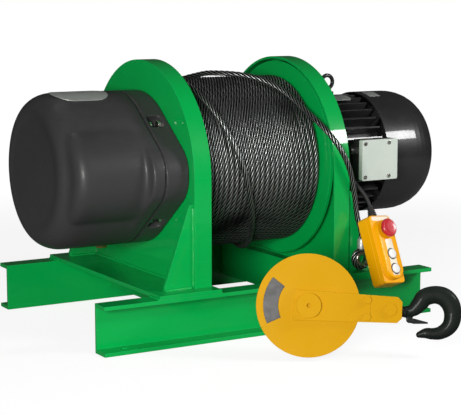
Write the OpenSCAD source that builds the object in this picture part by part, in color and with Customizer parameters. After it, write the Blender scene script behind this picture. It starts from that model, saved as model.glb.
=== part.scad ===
// Electric winch. A rope drum turns between two cheeks on a base of two channels. The gearbox is
// bolted outside the left cheek and the motor outside the right one, and the motor shaft runs
// through the hollow drum to the gears. A pendant control hangs on its cable, and the hook block
// stands on its rim in front. X runs along the drum, Y to the rear, Z up, and the origin is the
// middle of the base on the ground.

/* [Base] */
// Length of the two base channels
channel_len = 800; // [700:1:900]
// Height of the base channels
channel_h = 100; // [90:1:110]
// Width of a channel flange, over the web
channel_flange = 44; // [38:1:50]
// Thickness of a channel web
web_t = 6; // [5:0.5:8]
// Thickness of a channel flange
flange_t = 8; // [6:0.5:10]
// Depth of the base over the flange tips
base_depth = 544; // [530:1:560]
// Thickness of the cross plates
cross_t = 8; // [6:0.5:10]
// Reach of a cross plate outside its cheek
cross_out = 96; // [80:1:110]
// Reach of a cross plate inside the outer face of its cheek
cross_in = 45; // [42:1:55]
// Depth of the web under a cross plate
cross_drop = 72; // [50:1:80]
// Diameter of the four holes that bolt the base down
base_hole_d = 14; // [11:0.5:18]
// Distance of a base hole from the end of its channel
base_hole_inset = 50; // [35:1:80]

/* [Cheeks] */
// Height of the drum axis over the ground
axis_h = 335; // [332:1:338]
// Place of the middle of the drum along the base
drum_mid_x = 8; // [0:1:16]
// Distance over the outer faces of the two cheeks
cheek_span = 380; // [376:1:390]
// Thickness of a cheek plate
cheek_t = 10; // [8:0.5:12]
// Half the width of a cheek over its rim
cheek_half_w = 240; // [238:1:244]
// Drop of the centre of the cheek's round top below the drum axis
cheek_arc_drop = 13; // [7:1:15]
// Width of the rim strip
band_w = 39; // [36:1:41]
// Thickness of the rim strip
band_t = 5; // [4:0.5:6]
// Height of a gusset
gusset_h = 172; // [120:1:190]
// Width of a gusset at its foot
gusset_w = 66; // [50:1:80]
// Thickness of a gusset
gusset_t = 8; // [6:0.5:10]
// Distance of a gusset's mid plane from the drum axis
gusset_y = 230; // [224:1:231]
// Width of the blunt corners of a gusset
gusset_land = 8; // [5:1:12]

/* [Drum] */
// Outer radius of the drum shell
drum_r = 100; // [90:1:110]
// Wall of the drum shell
drum_wall = 8; // [6:0.5:10]
// Gap between a drum flange and its cheek
drum_gap = 16.5; // [15.5:0.5:17.5]
// Radius of the drum flanges
drum_flange_r = 217; // [205:1:219]
// Thickness of the drum flanges
drum_flange_t = 8; // [6:0.5:9]
// Thickness of the hub discs in the drum ends
hub_t = 14; // [12:0.5:18]
// Outer radius of the drum sleeve and of the spigot at the motor
sleeve_r = 30; // [29:0.5:32]
// Bore radius of the sleeve and the spigot
sleeve_bore_r = 18; // [15:0.5:20]

/* [Rope] */
// Diameter of the wire rope
rope_d = 12; // [11:0.1:12]
// Distance between neighbouring turns
rope_pitch = 12.45; // [12.45:0.01:12.5]
// Radius of the rope's centre line in the outer layer
winding_r = 180; // [170:1:181]

/* [Gears] */
// Module of all the gears
gear_module = 2.5; // [2.4:0.05:2.55]
// Teeth of each pinion
pinion_teeth = 13; // [12:1:14]
// Teeth of each wheel
wheel_teeth = 65; // [60:1:66]
// Pressure angle of the teeth
pressure_angle = 25; // [22:0.5:27]
// Play between meshing flanks
backlash = 0.15; // [0.1:0.01:0.3]
// Face width of the output gear
output_gear_w = 36; // [30:1:38]
// Face width of the counter gear
counter_gear_w = 24; // [18:1:30]
// Extra face width of each pinion over its wheel
pinion_extra_w = 4; // [2:0.5:6]
// Radius of the motor shaft and of the countershaft
shaft_r = 12.5; // [11:0.25:13]

/* [Gearbox] */
// Radius of the gearbox round the drum axis
gearbox_r = 163; // [158:1:166]
// Radius of the lobe on the housing
housing_lobe_r = 71; // [66:1:76]
// Distance of the housing lobe in front of the drum axis
housing_lobe_y = 150; // [145:1:154]
// Radius of the lobe on the cover
cover_lobe_r = 100; // [97:1:104]
// Length of the housing from the cheek to the joint
housing_len = 53; // [50:1:58]
// Length of the cover from the joint to its end face
cover_len = 194; // [188:1:200]
// Length of the cover before its lobe widens
lobe_start = 27; // [22:1:32]
// Length of the widened lobe
lobe_len = 153; // [148:1:156]
// Length of the rounding at the end of the cover
cover_round_x = 50; // [40:1:56]
// Height of the rounding at the end of the cover
cover_round_r = 36; // [28:1:42]
// Rounding of the widened lobe
lobe_round = 24; // [16:1:28]
// Wall of the gearbox castings
gearbox_wall = 9; // [7:0.5:10]
// Thickness of the gasket
gasket_t = 1; // [0.5:0.1:1.5]

/* [Motor] */
// Width of the motor flange round the frame
motor_flange_w = 21; // [18:1:24]
// Thickness of the motor flange
motor_flange_t = 12; // [10:0.5:14]
// Length of the front bell behind the flange
front_bell_len = 16; // [14:0.5:18]
// Radius of the frame under its fins
frame_r = 104; // [102:0.5:106]
// Wall of the motor frame
frame_wall = 9; // [7:0.5:10]
// Length of the motor frame
frame_len = 142; // [140:1:150]
// Height of a fin over the frame
fin_h = 31; // [28:1:33]
// Thickness of a fin
fin_t = 4; // [3:0.25:5]
// Number of fins round the whole frame
fin_count = 34; // [30:2:38]
// Thickness of the rear shield
rear_shield_t = 14; // [12:0.5:16]
// Step from the fins out to the fan cowl
cowl_step = 5; // [4:0.5:8]
// Length of the fan cowl
cowl_len = 152; // [146:1:160]
// Sheet thickness of the fan cowl
cowl_wall = 2.5; // [2:0.25:3]
// Length of the rounding at the cowl's end
cowl_round_x = 70; // [55:1:75]
// Height of the rounding at the cowl's end
cowl_round_r = 45; // [35:1:48]
// Thickness of the stator round the rotor
stator_t = 35; // [33:0.5:38]
// Length of the rotor and stator cores
core_len = 104; // [90:1:106]
// Gap between the fan and its cowl
fan_gap = 33.5; // [26:0.5:46]
// Number of fan blades
fan_blades = 9; // [6:1:12]

/* [Terminal box] */
// Width of the terminal box
tbox_w = 96; // [88:1:100]
// Height of the terminal box
tbox_h = 90; // [82:1:96]
// Depth of the box behind its lid
tbox_d = 22; // [20:0.5:26]
// Depth of the lid
tlid_d = 13; // [10:0.5:16]
// Gap from the side of the cowl out to the back of the terminal box
tbox_gap = 10; // [7:1:15]
// Wall of the terminal box and lid
tbox_wall = 3; // [2:0.25:3.5]

/* [Pendant] */
// Width of the pendant
pendant_w = 62; // [58:1:68]
// Height of the pendant
pendant_h = 150; // [146:1:160]
// Depth of the pendant
pendant_d = 38; // [36:0.5:42]
// Depth of the pendant's front cover
pendant_front_d = 12; // [10:0.5:14]
// Wall of the pendant
pendant_wall = 3; // [2.5:0.25:4]
// Corner radius of the pendant
pendant_corner = 13; // [8:0.5:16]
// Radius of the stop button's head
stop_r = 20; // [14:0.5:21]
// Travel of the stop button
stop_travel = 4; // [2:0.5:4.5]
// Radius of the two push buttons
button_r = 10; // [9:0.25:11]
// Travel of the push buttons
button_travel = 3; // [2:0.25:3.5]
// Distance between the two push buttons
button_pitch = 33; // [30:1:36]
// Diameter of the pendant cable
cable_d = 8; // [7:0.5:9]

/* [Hook block] */
// Radius of the side plates
block_r = 100; // [96:1:104]
// Thickness of the side plates
block_plate_t = 5; // [4:0.5:6]
// Width between the side plates
block_gap = 26; // [25:0.5:28]
// Radius of the sheave
sheave_r = 92; // [88:1:94]
// Width of the sheave
sheave_w = 23; // [21:0.5:23.5]
// Radius of the sheave pin
sheave_pin_r = 15; // [12:0.5:17]
// Reach of the straps from the sheave pin to the hook end
strap_reach = 180; // [178:1:184]
// Reach of the straps behind the sheave pin
strap_back = 29; // [25:1:34]
// Height of the straps behind the sheave pin
strap_h_back = 59; // [52:1:62]
// Height of the straps at the hook end
strap_h_end = 50; // [46:1:54]
// Thickness of the straps
strap_t = 6; // [5:0.5:7]
// Distance from the sheave pin to the crosshead pin
crosshead_x = 158; // [156:1:160]
// Radius of the crosshead pins
trunnion_r = 8; // [7:0.25:9]
// Radius of the hook shank
shank_r = 10.5; // [9.5:0.25:11]

/* [Hidden] */
$fn = 96;

// Overrun of every cut, and the clearances of the fits
cut = 1;
fit = 0.05;
loose = 0.3;

// Colours of the finishes
green = [0.02, 0.62, 0.30];
grey_black = [0.22, 0.22, 0.23];
black = [0.12, 0.12, 0.13];
steel = [0.72, 0.73, 0.75];
pale_green = [0.80, 0.84, 0.80];
amber = [0.95, 0.66, 0.05];

// Radii round the motor, each from the one inside it
air_gap = 0.5;
fin_r = frame_r + fin_h;
cowl_r = fin_r + cowl_step;
rotor_r = frame_r - frame_wall - stator_t - air_gap;
fan_r = cowl_r - cowl_wall - fan_gap;
motor_flange_r = frame_r + motor_flange_w;

// Places along the drum axis
drum_width = cheek_span - 2 * (cheek_t + drum_gap + drum_flange_t);
turn_parts = 4;
rope_turns = floor(turn_parts * (drum_width - rope_d - 2 * loose) / rope_pitch) / turn_parts;
cheek_arc_h = axis_h - cheek_arc_drop;
left_face = drum_mid_x - cheek_span / 2;
right_face = drum_mid_x + cheek_span / 2;
flange_in_left = drum_mid_x - drum_width / 2;
flange_in_right = drum_mid_x + drum_width / 2;
drum_left = flange_in_left - drum_flange_t;
drum_right = flange_in_right + drum_flange_t;
joint_x = left_face - housing_len;
cover_x = joint_x - gasket_t;
cover_end = cover_x - cover_len;
lobe_x = cover_x - lobe_start;
lobe_end = lobe_x - lobe_len;
bell_x = right_face + motor_flange_t;
frame_x = bell_x + front_bell_len;
frame_end = frame_x + frame_len;
shield_end = frame_end + rear_shield_t;
cowl_lap = 6;
cowl_x = shield_end - cowl_lap;
cowl_end = cowl_x + cowl_len;
core_x = frame_x + (frame_len - core_len) / 2;
base_top = channel_h + cross_t;

// Ball bearings: radii and widths of the two sizes
bearing_r = 26;
bearing_w = 15;
drum_bearing_r = 47.5;
drum_bearing_w = 18;
bearing_groove = 1.5;
bearing_land = 4;
seat_wall = 7;

// Gears
centre_dist = gear_module * (pinion_teeth + wheel_teeth) / 2;
addendum_share = 0.8;
dedendum_share = 1.0;
flank_steps = 3;
output_gear_x = left_face - 68;
counter_gear_x = output_gear_x - 62;

// Lies along X, round the drum axis unless y says otherwise
module x_rod(x0, x1, r, y = 0, z = axis_h) {
    translate([x0, y, z]) rotate([0, 90, 0]) cylinder(h = x1 - x0, r = r);
}

module x_ring(x0, x1, r, bore, y = 0, z = axis_h) {
    difference() {
        x_rod(x0, x1, r, y, z);
        x_rod(x0 - cut, x1 + cut, bore, y, z);
    }
}

// Turns a profile of [radius, x] points round the drum axis, or an axis y beside it
module x_turn(points, y = 0) {
    translate([0, y, axis_h]) rotate([0, 90, 0]) rotate_extrude() polygon(points);
}

// Extrudes an outline drawn in Y and Z along X
module x_extrude(x0, x1) {
    translate([x0, 0, 0]) rotate([90, 0, 90]) linear_extrude(x1 - x0) children();
}

// Mirrors the left side of the winch onto the right
module on_side(side) {
    translate([drum_mid_x, 0, 0]) mirror([side < 0 ? 1 : 0, 0, 0]) children();
}

// Rectangle with round corners, centred
module rounded(w, h, r) {
    square([w - 2 * r, h], center = true);
    square([w, h - 2 * r], center = true);
    for (x = [-1, 1], y = [-1, 1])
        translate([x * (w / 2 - r), y * (h / 2 - r)]) circle(r = r);
}

// Hexagon head or nut across its corners, standing on z = 0
module hex_head(r, h) {
    cylinder(h = h, r = r, $fn = 6);
}

// Quarter of an ellipse for the rounding at an end, from the side wall to the end face
round_steps = 8;
function end_round(r, x_face, round_x, round_r, way) =
    [for (i = [0 : round_steps]) let (a = 90 * i / round_steps)
        [r - round_r + round_r * cos(a), x_face - way * round_x * (1 - sin(a))]];

// Tubes swept along a route
function unit(v) = v / norm(v);
function blend_point(a, b, c, d, t) =
    (2 * b + (c - a) * t + (2 * a - 5 * b + 4 * c - d) * t * t
     + (3 * b - a - 3 * c + d) * t * t * t) / 2;
function near(list, i) = list[max(0, min(len(list) - 1, i))];
function rings_along(route, step) = [
    for (i = [0 : len(route) - 2])
        let (n = max(1, round(norm(route[i + 1] - route[i]) / step)))
        for (k = [0 : n - 1])
            blend_point(near(route, i - 1), route[i], route[i + 1], near(route, i + 2), k / n),
    route[len(route) - 1],
];
function directions(p) = [for (i = [0 : len(p) - 1]) unit(near(p, i + 1) - near(p, i - 1))];
function square_to(v, t) = unit(v - (v * t) * t);
function side_vectors(t, first) = [
    for (i = 0, s = square_to(first, t[0]); i < len(t);
         i = i + 1, s = i < len(t) ? square_to(s, t[i]) : s) s
];
function tube_points(p, radii, sides, first, flat = 1) =
    let (t = directions(p), s = side_vectors(t, first))
    [for (i = [0 : len(p) - 1], k = [0 : sides - 1])
        let (a = 360 * k / sides)
        p[i] + radii[i] * (cos(a) * s[i] + flat * sin(a) * cross(t[i], s[i]))];
function tube_faces(rings, sides) = concat(
    [for (i = [0 : rings - 2], k = [0 : sides - 1])
        let (a = i * sides + k, b = i * sides + (k + 1) % sides)
        each [[a, a + sides, b], [b, a + sides, b + sides]]],
    [for (k = [1 : sides - 2]) [0, k, k + 1]],
    [for (k = [1 : sides - 2]) let (z = (rings - 1) * sides) [z, z + k + 1, z + k]]
);
module tube(p, radii, sides, first, flat = 1) {
    polyhedron(tube_points(p, radii, sides, first, flat), tube_faces(len(p), sides));
}
function same(value, count) = [for (i = [1 : count]) value];

// Base
module channel(side) {
    hole_x = channel_len / 2 - base_hole_inset;
    hole_y = base_depth / 2 - (channel_flange - web_t) / 2;
    tip = base_depth / 2;
    color(green) mirror([0, side > 0 ? 0 : 1, 0]) difference() {
        x_extrude(-channel_len / 2, channel_len / 2) difference() {
            translate([tip - channel_flange, 0]) square([channel_flange, channel_h]);
            translate([tip - channel_flange + web_t, flange_t])
                square([channel_flange, channel_h - 2 * flange_t]);
        }
        for (x = [-hole_x, hole_x])
            translate([x, hole_y, -cut]) cylinder(h = flange_t + 2 * cut, d = base_hole_d);
    }
}

module cross_plate(side) {
    inner = cheek_span / 2 - cross_in;
    web_y = base_depth / 2 - channel_flange;
    color(green) on_side(side) {
        translate([inner, -base_depth / 2, channel_h])
            cube([cross_in + cross_out, base_depth, cross_t]);
        translate([inner, -web_y, channel_h - cross_drop])
            cube([cross_t, 2 * web_y, cross_drop]);
    }
}

// Cheeks: an outline with straight sides and a round top, standing on the cross plate
module cheek_outline(half_w, drop = 0) {
    intersection() {
        union() {
            translate([-half_w, base_top - drop])
                square([2 * half_w, cheek_arc_h - base_top + drop]);
            translate([0, cheek_arc_h]) circle(r = half_w, $fn = 144);
        }
        translate([-cheek_half_w, base_top - drop])
            square([2 * cheek_half_w, cheek_arc_h + cheek_half_w]);
    }
}

spigot_r = 52;
gearbox_bolt_r = 149;
gearbox_bolt_angles = [48, 90, 132, 312, 270, 228];
lobe_bolt_y = 118;
lobe_bolt_z = 98;
gearbox_bolts_yz = concat(
    [for (a = [20, 70, 290, 340]) gearbox_bolt_r * [cos(a), sin(a)]],
    [for (s = [-1, 1]) [-lobe_bolt_y, s * lobe_bolt_z]]);
bolt_r = 5;
bolt_head_r = 9;
bolt_head_h = 7;
motor_bolt_edge = 11;
motor_bolt_r = motor_flange_r - motor_bolt_edge;
motor_bolt_count = 6;
motor_bolts_yz = [for (i = [0 : motor_bolt_count - 1])
    let (a = 360 * (i + 1 / 2) / motor_bolt_count) motor_bolt_r * [cos(a), sin(a)]];

module cheek(side) {
    holes = side < 0 ? gearbox_bolts_yz : motor_bolts_yz;
    color(green) on_side(side) x_extrude(cheek_span / 2 - cheek_t, cheek_span / 2) difference() {
        cheek_outline(cheek_half_w - band_t);
        translate([0, axis_h]) circle(r = spigot_r + fit);
        for (p = holes) translate([p[0], axis_h + p[1]]) circle(r = bolt_r + fit);
    }
}

module cheek_band(side) {
    color(green) on_side(side) x_extrude(cheek_span / 2 - band_w, cheek_span / 2) difference() {
        cheek_outline(cheek_half_w);
        cheek_outline(cheek_half_w - band_t, cut);
    }
}

module gussets() {
    color(green) for (side = [-1, 1], rear = [-1, 1])
        on_side(side) translate([cheek_span / 2, rear * gusset_y + gusset_t / 2, base_top])
            rotate([90, 0, 0]) linear_extrude(gusset_t) polygon([
                [0, 0], [gusset_w, 0], [gusset_w, gusset_land],
                [gusset_land, gusset_h], [0, gusset_h]]);
}

// Gearbox
notch_r = 16;
notch_lug = 14;
notch_rim = 10;
housing_back = 10;
housing_cavity_r = 125;
housing_lobe_cavity_r = 50;

// Outline in Y and Z: the big circle, the lobe in front, and the flats that touch both
module gearbox_outline(inset = 0) {
    r = gearbox_r - inset;
    q = housing_lobe_r - inset;
    lean = acos((r - q) / housing_lobe_y);
    translate([0, axis_h]) {
        circle(r = r, $fn = 144);
        translate([-housing_lobe_y, 0]) circle(r = q);
        polygon([
            [-r * cos(lean), r * sin(lean)],
            [-housing_lobe_y - q * cos(lean), q * sin(lean)],
            [-housing_lobe_y - q * cos(lean), -q * sin(lean)],
            [-r * cos(lean), -r * sin(lean)]]);
    }
}

module gearbox_housing() {
    seat_end = left_face - drum_bearing_w;
    boss_x = seat_end - gearbox_wall;
    back_x = left_face - housing_back;
    color(grey_black) difference() {
        union() {
            difference() {
                x_extrude(joint_x, left_face) gearbox_outline();
                x_rod(joint_x - cut, back_x, housing_cavity_r);
                x_rod(joint_x - cut, back_x, housing_lobe_cavity_r, -centre_dist);
                for (p = gearbox_bolts_yz)
                    x_extrude(joint_x + notch_rim, left_face - notch_lug)
                        translate([p[0], axis_h + p[1]]) rotate(atan2(p[1], p[0])) {
                            circle(r = notch_r);
                            translate([0, -notch_r]) square([3 * notch_r, 2 * notch_r]);
                        }
            }
            x_rod(boss_x, left_face, drum_bearing_r + seat_wall);
            x_rod(left_face - cut, left_face + cheek_t, spigot_r);
            x_rod(back_x - bearing_w, back_x + cut, bearing_r + seat_wall, -centre_dist);
        }
        x_rod(seat_end, left_face + cheek_t + cut, drum_bearing_r + fit);
        x_rod(boss_x - cut, seat_end + cut, sleeve_r + seat_wall);
        x_rod(back_x - bearing_w - cut, back_x, bearing_r + fit, -centre_dist);
        for (p = gearbox_bolts_yz) {
            x_rod(left_face - notch_lug - cut, left_face + cut, bolt_r + fit,
                  p[0], axis_h + p[1]);
            x_rod(joint_x - cut, joint_x + notch_rim + cut, cover_screw_r + fit,
                  p[0], axis_h + p[1]);
        }
    }
}

// Cover: a round case with a recessed end face, and a wider lobe over the countershaft
cover_recess_r = 118;
cover_recess = 2;
cover_screw_r = 4;
cover_rim = 14;
cover_rim_bore = 122;
shaft_boss_len = 24;

module cover_body(inset, over) {
    r = gearbox_r - inset;
    q = cover_lobe_r - inset;
    face = cover_end + inset;
    x_turn(concat([[0, cover_x + over], [r, cover_x + over]],
        end_round(r, face, cover_round_x - inset, cover_round_r - inset / 2, -1), [[0, face]]));
    x_turn(concat([[0, lobe_x - inset + cut], [q, lobe_x - inset + cut]],
        end_round(q, lobe_end + inset, lobe_round, lobe_round, -1), [[0, lobe_end + inset]]),
        -centre_dist);
    x_extrude(lobe_x + inset, cover_x + over) gearbox_outline(inset);
}

module gearbox_cover() {
    shaft_boss_x = cover_end + gearbox_wall;
    counter_boss_x = lobe_end + gearbox_wall;
    color(grey_black) difference() {
        union() {
            difference() {
                cover_body(0, 0);
                difference() {
                    cover_body(gearbox_wall, cut);
                    x_extrude(cover_x - cover_rim, cover_x + 2 * cut) difference() {
                        gearbox_outline();
                        translate([0, axis_h]) circle(r = cover_rim_bore);
                        translate([-centre_dist, axis_h]) circle(r = housing_lobe_cavity_r);
                    }
                }
            }
            x_rod(shaft_boss_x - cut, shaft_boss_x + shaft_boss_len, bearing_r + seat_wall);
            x_rod(counter_boss_x - cut, counter_boss_x + bearing_w + cut,
                  bearing_r + seat_wall, -centre_dist);
        }
        x_rod(shaft_boss_x + shaft_boss_len - bearing_w, shaft_boss_x + shaft_boss_len + cut,
              bearing_r + fit);
        x_rod(counter_boss_x + cut, counter_boss_x + bearing_w + 2 * cut,
              bearing_r + fit, -centre_dist);
        x_rod(cover_end - cut, cover_end + cover_recess, cover_recess_r);
        for (p = gearbox_bolts_yz)
            x_rod(cover_x - cover_rim, cover_x + cut, cover_screw_r, p[0], axis_h + p[1]);
        for (a = plug_angles)
            plug_at(a) cylinder(h = gearbox_wall + 3 * cut, r = plug_r + fit);
    }
}

module gearbox_gasket() {
    color(black) x_extrude(cover_x, joint_x) difference() {
        gearbox_outline();
        translate([0, axis_h]) circle(r = housing_cavity_r);
        translate([-centre_dist, axis_h]) circle(r = housing_lobe_cavity_r);
        for (p = gearbox_bolts_yz) translate([p[0], axis_h + p[1]]) circle(r = cover_screw_r + fit);
    }
}

cover_screw_head_r = 6.5;
cover_screw_head_h = 8;
module gearbox_bolts() {
    lug_x = left_face - notch_lug;
    rim_x = joint_x + notch_rim;
    color(steel) for (p = gearbox_bolts_yz) {
        x_rod(lug_x - cut, left_face + cheek_t, bolt_r, p[0], axis_h + p[1]);
        translate([lug_x - bolt_head_h, p[0], axis_h + p[1]]) rotate([0, 90, 0])
            hex_head(bolt_head_r, bolt_head_h);
        x_rod(cover_x - cover_rim + cut, rim_x, cover_screw_r - fit, p[0], axis_h + p[1]);
        x_rod(rim_x, rim_x + cover_screw_head_h, cover_screw_head_r, p[0], axis_h + p[1]);
    }
}

// Oil plugs: the filler high at the rear, the drain underneath
plug_r = 9;
plug_head_r = 13;
plug_head_h = 6;
plug_x = cover_x - 40;
plug_angles = [50, 270];
module plug_at(a) {
    translate([plug_x, 0, axis_h]) rotate([a - 90, 0, 0])
        translate([0, 0, gearbox_r - gearbox_wall - cut]) children();
}
module oil_plugs() {
    color(steel) for (a = plug_angles) plug_at(a) {
        cylinder(h = gearbox_wall + 2 * cut, r = plug_r);
        translate([0, 0, gearbox_wall + cut + loose]) hex_head(plug_head_r, plug_head_h);
    }
}

// Nameplates: bare bent sheets on the gearbox, the motor fins and the cowl
plate_t = 0.8;
plate_gap = 0.25;
gearbox_plate = [cover_end + 32, cover_end + 156, 80, 122];
gearbox_plate_mid = -26;
gearbox_plate_w = 82;
gearbox_plate_round = 40;
motor_plate = [frame_x + 47, frame_x + 113, 95, 115];
motor_plate_mid = -34;
motor_plate_w = 34;
motor_plate_round = 10;
cowl_plate = [cowl_x + 12, cowl_x + 42, 98, 110];
module bent_plate(r, x0, x1, a0, a1) {
    translate([0, 0, axis_h]) rotate([a0, 0, 0]) rotate([0, 90, 0]) rotate([0, 0, 90])
        rotate_extrude(angle = a1 - a0)
            polygon([[r, x0], [r + plate_t, x0], [r + plate_t, x1], [r, x1]]);
}
module round_plate(r, p, mid, width, corner) {
    intersection() {
        bent_plate(r, p[0], p[1], p[2], p[3]);
        translate([(p[0] + p[1]) / 2, mid, axis_h]) linear_extrude(2 * r)
            rounded(p[1] - p[0], width, corner);
    }
}
module nameplates() {
    color(steel) {
        round_plate(gearbox_r + plate_gap, gearbox_plate, gearbox_plate_mid, gearbox_plate_w,
                    gearbox_plate_round);
        round_plate(fin_r + plate_gap, motor_plate, motor_plate_mid, motor_plate_w,
                    motor_plate_round);
        bent_plate(cowl_r + fit, cowl_plate[0], cowl_plate[1], cowl_plate[2], cowl_plate[3]);
    }
}

// Ball bearings: a ring with a groove between its races on both sides
module ball_bearing(x, r, bore, w, y = 0) {
    race = bearing_land;
    color(steel) difference() {
        x_ring(x, x + w, r, bore, y);
        for (g = [x, x + w - bearing_groove])
            x_ring(g - (g == x ? cut : 0), g + bearing_groove + (g == x ? 0 : cut),
                   r - race, bore + race, y);
    }
}
drum_seat_left = left_face - drum_bearing_w;
drum_seat_right = drum_right - drum_bearing_w;
shaft_boss_end = cover_end + gearbox_wall + shaft_boss_len;
counter_seat_left = lobe_end + gearbox_wall + cut;
counter_seat_right = left_face - housing_back - bearing_w;
front_seat = frame_x - bearing_w;
rear_seat = shield_end - bearing_w;
module ball_bearings() {
    ball_bearing(drum_seat_left, drum_bearing_r, sleeve_r + fit, drum_bearing_w);
    ball_bearing(drum_seat_right, drum_bearing_r, sleeve_r, drum_bearing_w);
    ball_bearing(shaft_boss_end - bearing_w, bearing_r, shaft_r + fit, bearing_w);
    ball_bearing(counter_seat_left, bearing_r, shaft_r + fit, bearing_w, -centre_dist);
    ball_bearing(counter_seat_right, bearing_r, shaft_r + fit, bearing_w, -centre_dist);
    ball_bearing(front_seat, bearing_r, shaft_r + fit, bearing_w);
    ball_bearing(rear_seat, bearing_r, shaft_r + fit, bearing_w);
}

// Drum
module drum_shell() {
    color(green) x_ring(drum_left, drum_right, drum_r, drum_r - drum_wall);
}
module drum_flange(x) {
    color(green) x_ring(x, x + drum_flange_t, drum_flange_r, drum_r);
}
module drum_hubs() {
    sleeve_end = output_gear_x;
    color(green) {
        difference() {
            union() {
                x_rod(drum_left, drum_left + hub_t, drum_r - drum_wall);
                x_rod(sleeve_end, drum_left + cut, sleeve_r);
            }
            x_rod(sleeve_end - cut, drum_left + hub_t + cut, sleeve_bore_r);
        }
        x_ring(drum_right - hub_t, drum_right, drum_r - drum_wall, drum_bearing_r + fit);
        x_ring(drum_seat_right, drum_right - hub_t + cut, drum_bearing_r + seat_wall,
               drum_bearing_r + fit);
    }
}

// Involute gear outline, with a tooth on the first axis
function roll(a) = tan(a) * 180 / PI - a;
function half_tooth(r, pitch_r, teeth) =
    90 / teeth + roll(pressure_angle) - roll(acos(min(1, pitch_r * cos(pressure_angle) / r)))
    - backlash / 4 / pitch_r * 180 / PI;
function gear_points(teeth) =
    let (
        pitch_r = gear_module * teeth / 2,
        base_r = pitch_r * cos(pressure_angle),
        root_r = pitch_r - gear_module * dedendum_share,
        tip_r = pitch_r + gear_module * addendum_share,
        low_r = max(base_r, root_r),
        flank = [for (i = [0 : flank_steps - 1]) low_r + (tip_r - low_r) * i / (flank_steps - 1)],
        foot = half_tooth(low_r, pitch_r, teeth)
    )
    [for (k = [0 : teeth - 1]) let (c = 360 * k / teeth) each concat(
        base_r > root_r ? [root_r * [cos(c - foot), sin(c - foot)]] : [],
        [for (r = flank) let (a = c - half_tooth(r, pitch_r, teeth)) r * [cos(a), sin(a)]],
        [for (i = [flank_steps - 1 : -1 : 0]) let (r = flank[i],
            a = c + half_tooth(r, pitch_r, teeth)) r * [cos(a), sin(a)]],
        base_r > root_r ? [root_r * [cos(c + foot), sin(c + foot)]] : [])];
module gear(x, w, teeth, y = 0) {
    x_extrude(x, x + w) translate([y, axis_h]) polygon(gear_points(teeth));
}

// Web recess of a wheel, and its hub
recess_depth = 7;
rim_share = 0.78;
module wheel(x, w, bore, y = 0) {
    wheel_r = gear_module * wheel_teeth / 2;
    color(steel) difference() {
        gear(x, w, wheel_teeth, y);
        x_rod(x - cut, x + w + cut, bore, y);
        for (g = [x - cut, x + w - recess_depth])
            x_ring(g, g + recess_depth + cut, wheel_r * rim_share, bore + seat_wall, y);
    }
}
module output_gear() {
    wheel(output_gear_x, output_gear_w, sleeve_r);
}

// Rope on the drum: a plain core, the outer layer, and the two blocks where its ends climb
loop_rings = 24;
rope_sides = 6;
step_angle = 360 / loop_rings;
core_r = winding_r * cos(step_angle / 2) - rope_d / 2 - loose;
rope_from_x = flange_in_right - rope_d / 2 - loose;
rope_from_angle = -30;
function winding_point(i) = let (a = rope_from_angle - i * step_angle)
    [rope_from_x - i * rope_pitch / loop_rings,
     winding_r * cos(a), axis_h + winding_r * sin(a)];
winding_route = [for (i = [0 : rope_turns * loop_rings]) winding_point(i)];
winding_points = tube_points(winding_route, same(rope_d / 2, len(winding_route)), rope_sides,
                             [0, cos(rope_from_angle), sin(rope_from_angle)]);
winding_gap = min([
    for (i = [0 : len(winding_route) - loop_rings - 1], k = [0 : rope_sides - 1],
         m = [0 : rope_sides - 1])
        winding_points[i * rope_sides + k][0]
        - winding_points[(i + loop_rings) * rope_sides + m][0]
]);
echo(str("Least gap of the rope's outer layer to itself: ", winding_gap, " mm"));

module rope_core() {
    color(black) x_ring(flange_in_left, flange_in_right, core_r, drum_r);
}
module rope_winding() {
    color(black) polyhedron(winding_points, tube_faces(len(winding_route), rope_sides));
}
clamp_len = 26;
clamp_w = 12;
clamp_sink = 6;
module climb_block(route_end, route_next) {
    dir = unit(route_end - route_next);
    angle = atan2(dir[2], dir[1]);
    foot = core_r + clamp_sink;
    middle = [route_end[0], route_end[1], route_end[2]];
    intersection() {
        translate(middle) rotate([angle, 0, 0])
            translate([-clamp_w / 2, 0, -rope_d]) cube([clamp_w, clamp_len, 2 * rope_d]);
        x_ring(flange_in_left, flange_in_right, winding_r + rope_d / 2, core_r);
    }
}
module rope_clamp() {
    last = len(winding_route) - 1;
    color(steel) {
        climb_block(winding_route[0], winding_route[1]);
        climb_block(winding_route[last], winding_route[last - 1]);
    }
}

// Motor shaft with its pinion, and the countershaft
shaft_end = shield_end + 98;
module drive_shaft() {
    color(steel) {
        x_rod(shaft_boss_end - bearing_w, shaft_end, shaft_r);
        gear(counter_gear_x - pinion_extra_w / 2, counter_gear_w + pinion_extra_w, pinion_teeth);
    }
}
module rotor_core() {
    color(steel) x_ring(core_x, core_x + core_len, rotor_r, shaft_r);
}
fan_x = shield_end + 50;
fan_w = 34;
fan_hub_r = 24;
fan_disc_t = 3;
fan_blade_t = 3;
module cooling_fan() {
    color(black) {
        x_ring(fan_x, fan_x + fan_w, fan_hub_r, shaft_r);
        x_ring(fan_x, fan_x + fan_disc_t, fan_r * rim_share, fan_hub_r - cut);
        for (i = [0 : fan_blades - 1])
            translate([fan_x, 0, axis_h]) rotate([360 * i / fan_blades, 0, 0])
                translate([0, fan_hub_r - cut, -fan_blade_t / 2])
                    cube([fan_w, fan_r - fan_hub_r + cut, fan_blade_t]);
    }
}
brake_step = 30;
brake_r = fan_r - brake_step;
brake_magnet_w = 28;
brake_disc_w = 10;
brake_air = 1.5;
brake_x = shield_end + brake_magnet_w + brake_air;
module brake_disc() {
    color(steel) {
        x_ring(brake_x, brake_x + brake_disc_w, brake_r - seat_wall, shaft_r);
        x_ring(brake_x + brake_disc_w - cut, fan_x - loose, fan_hub_r, shaft_r);
    }
}
module brake_magnet() {
    color(black) x_ring(shield_end, shield_end + brake_magnet_w, brake_r, shaft_r + bearing_land);
}
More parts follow.
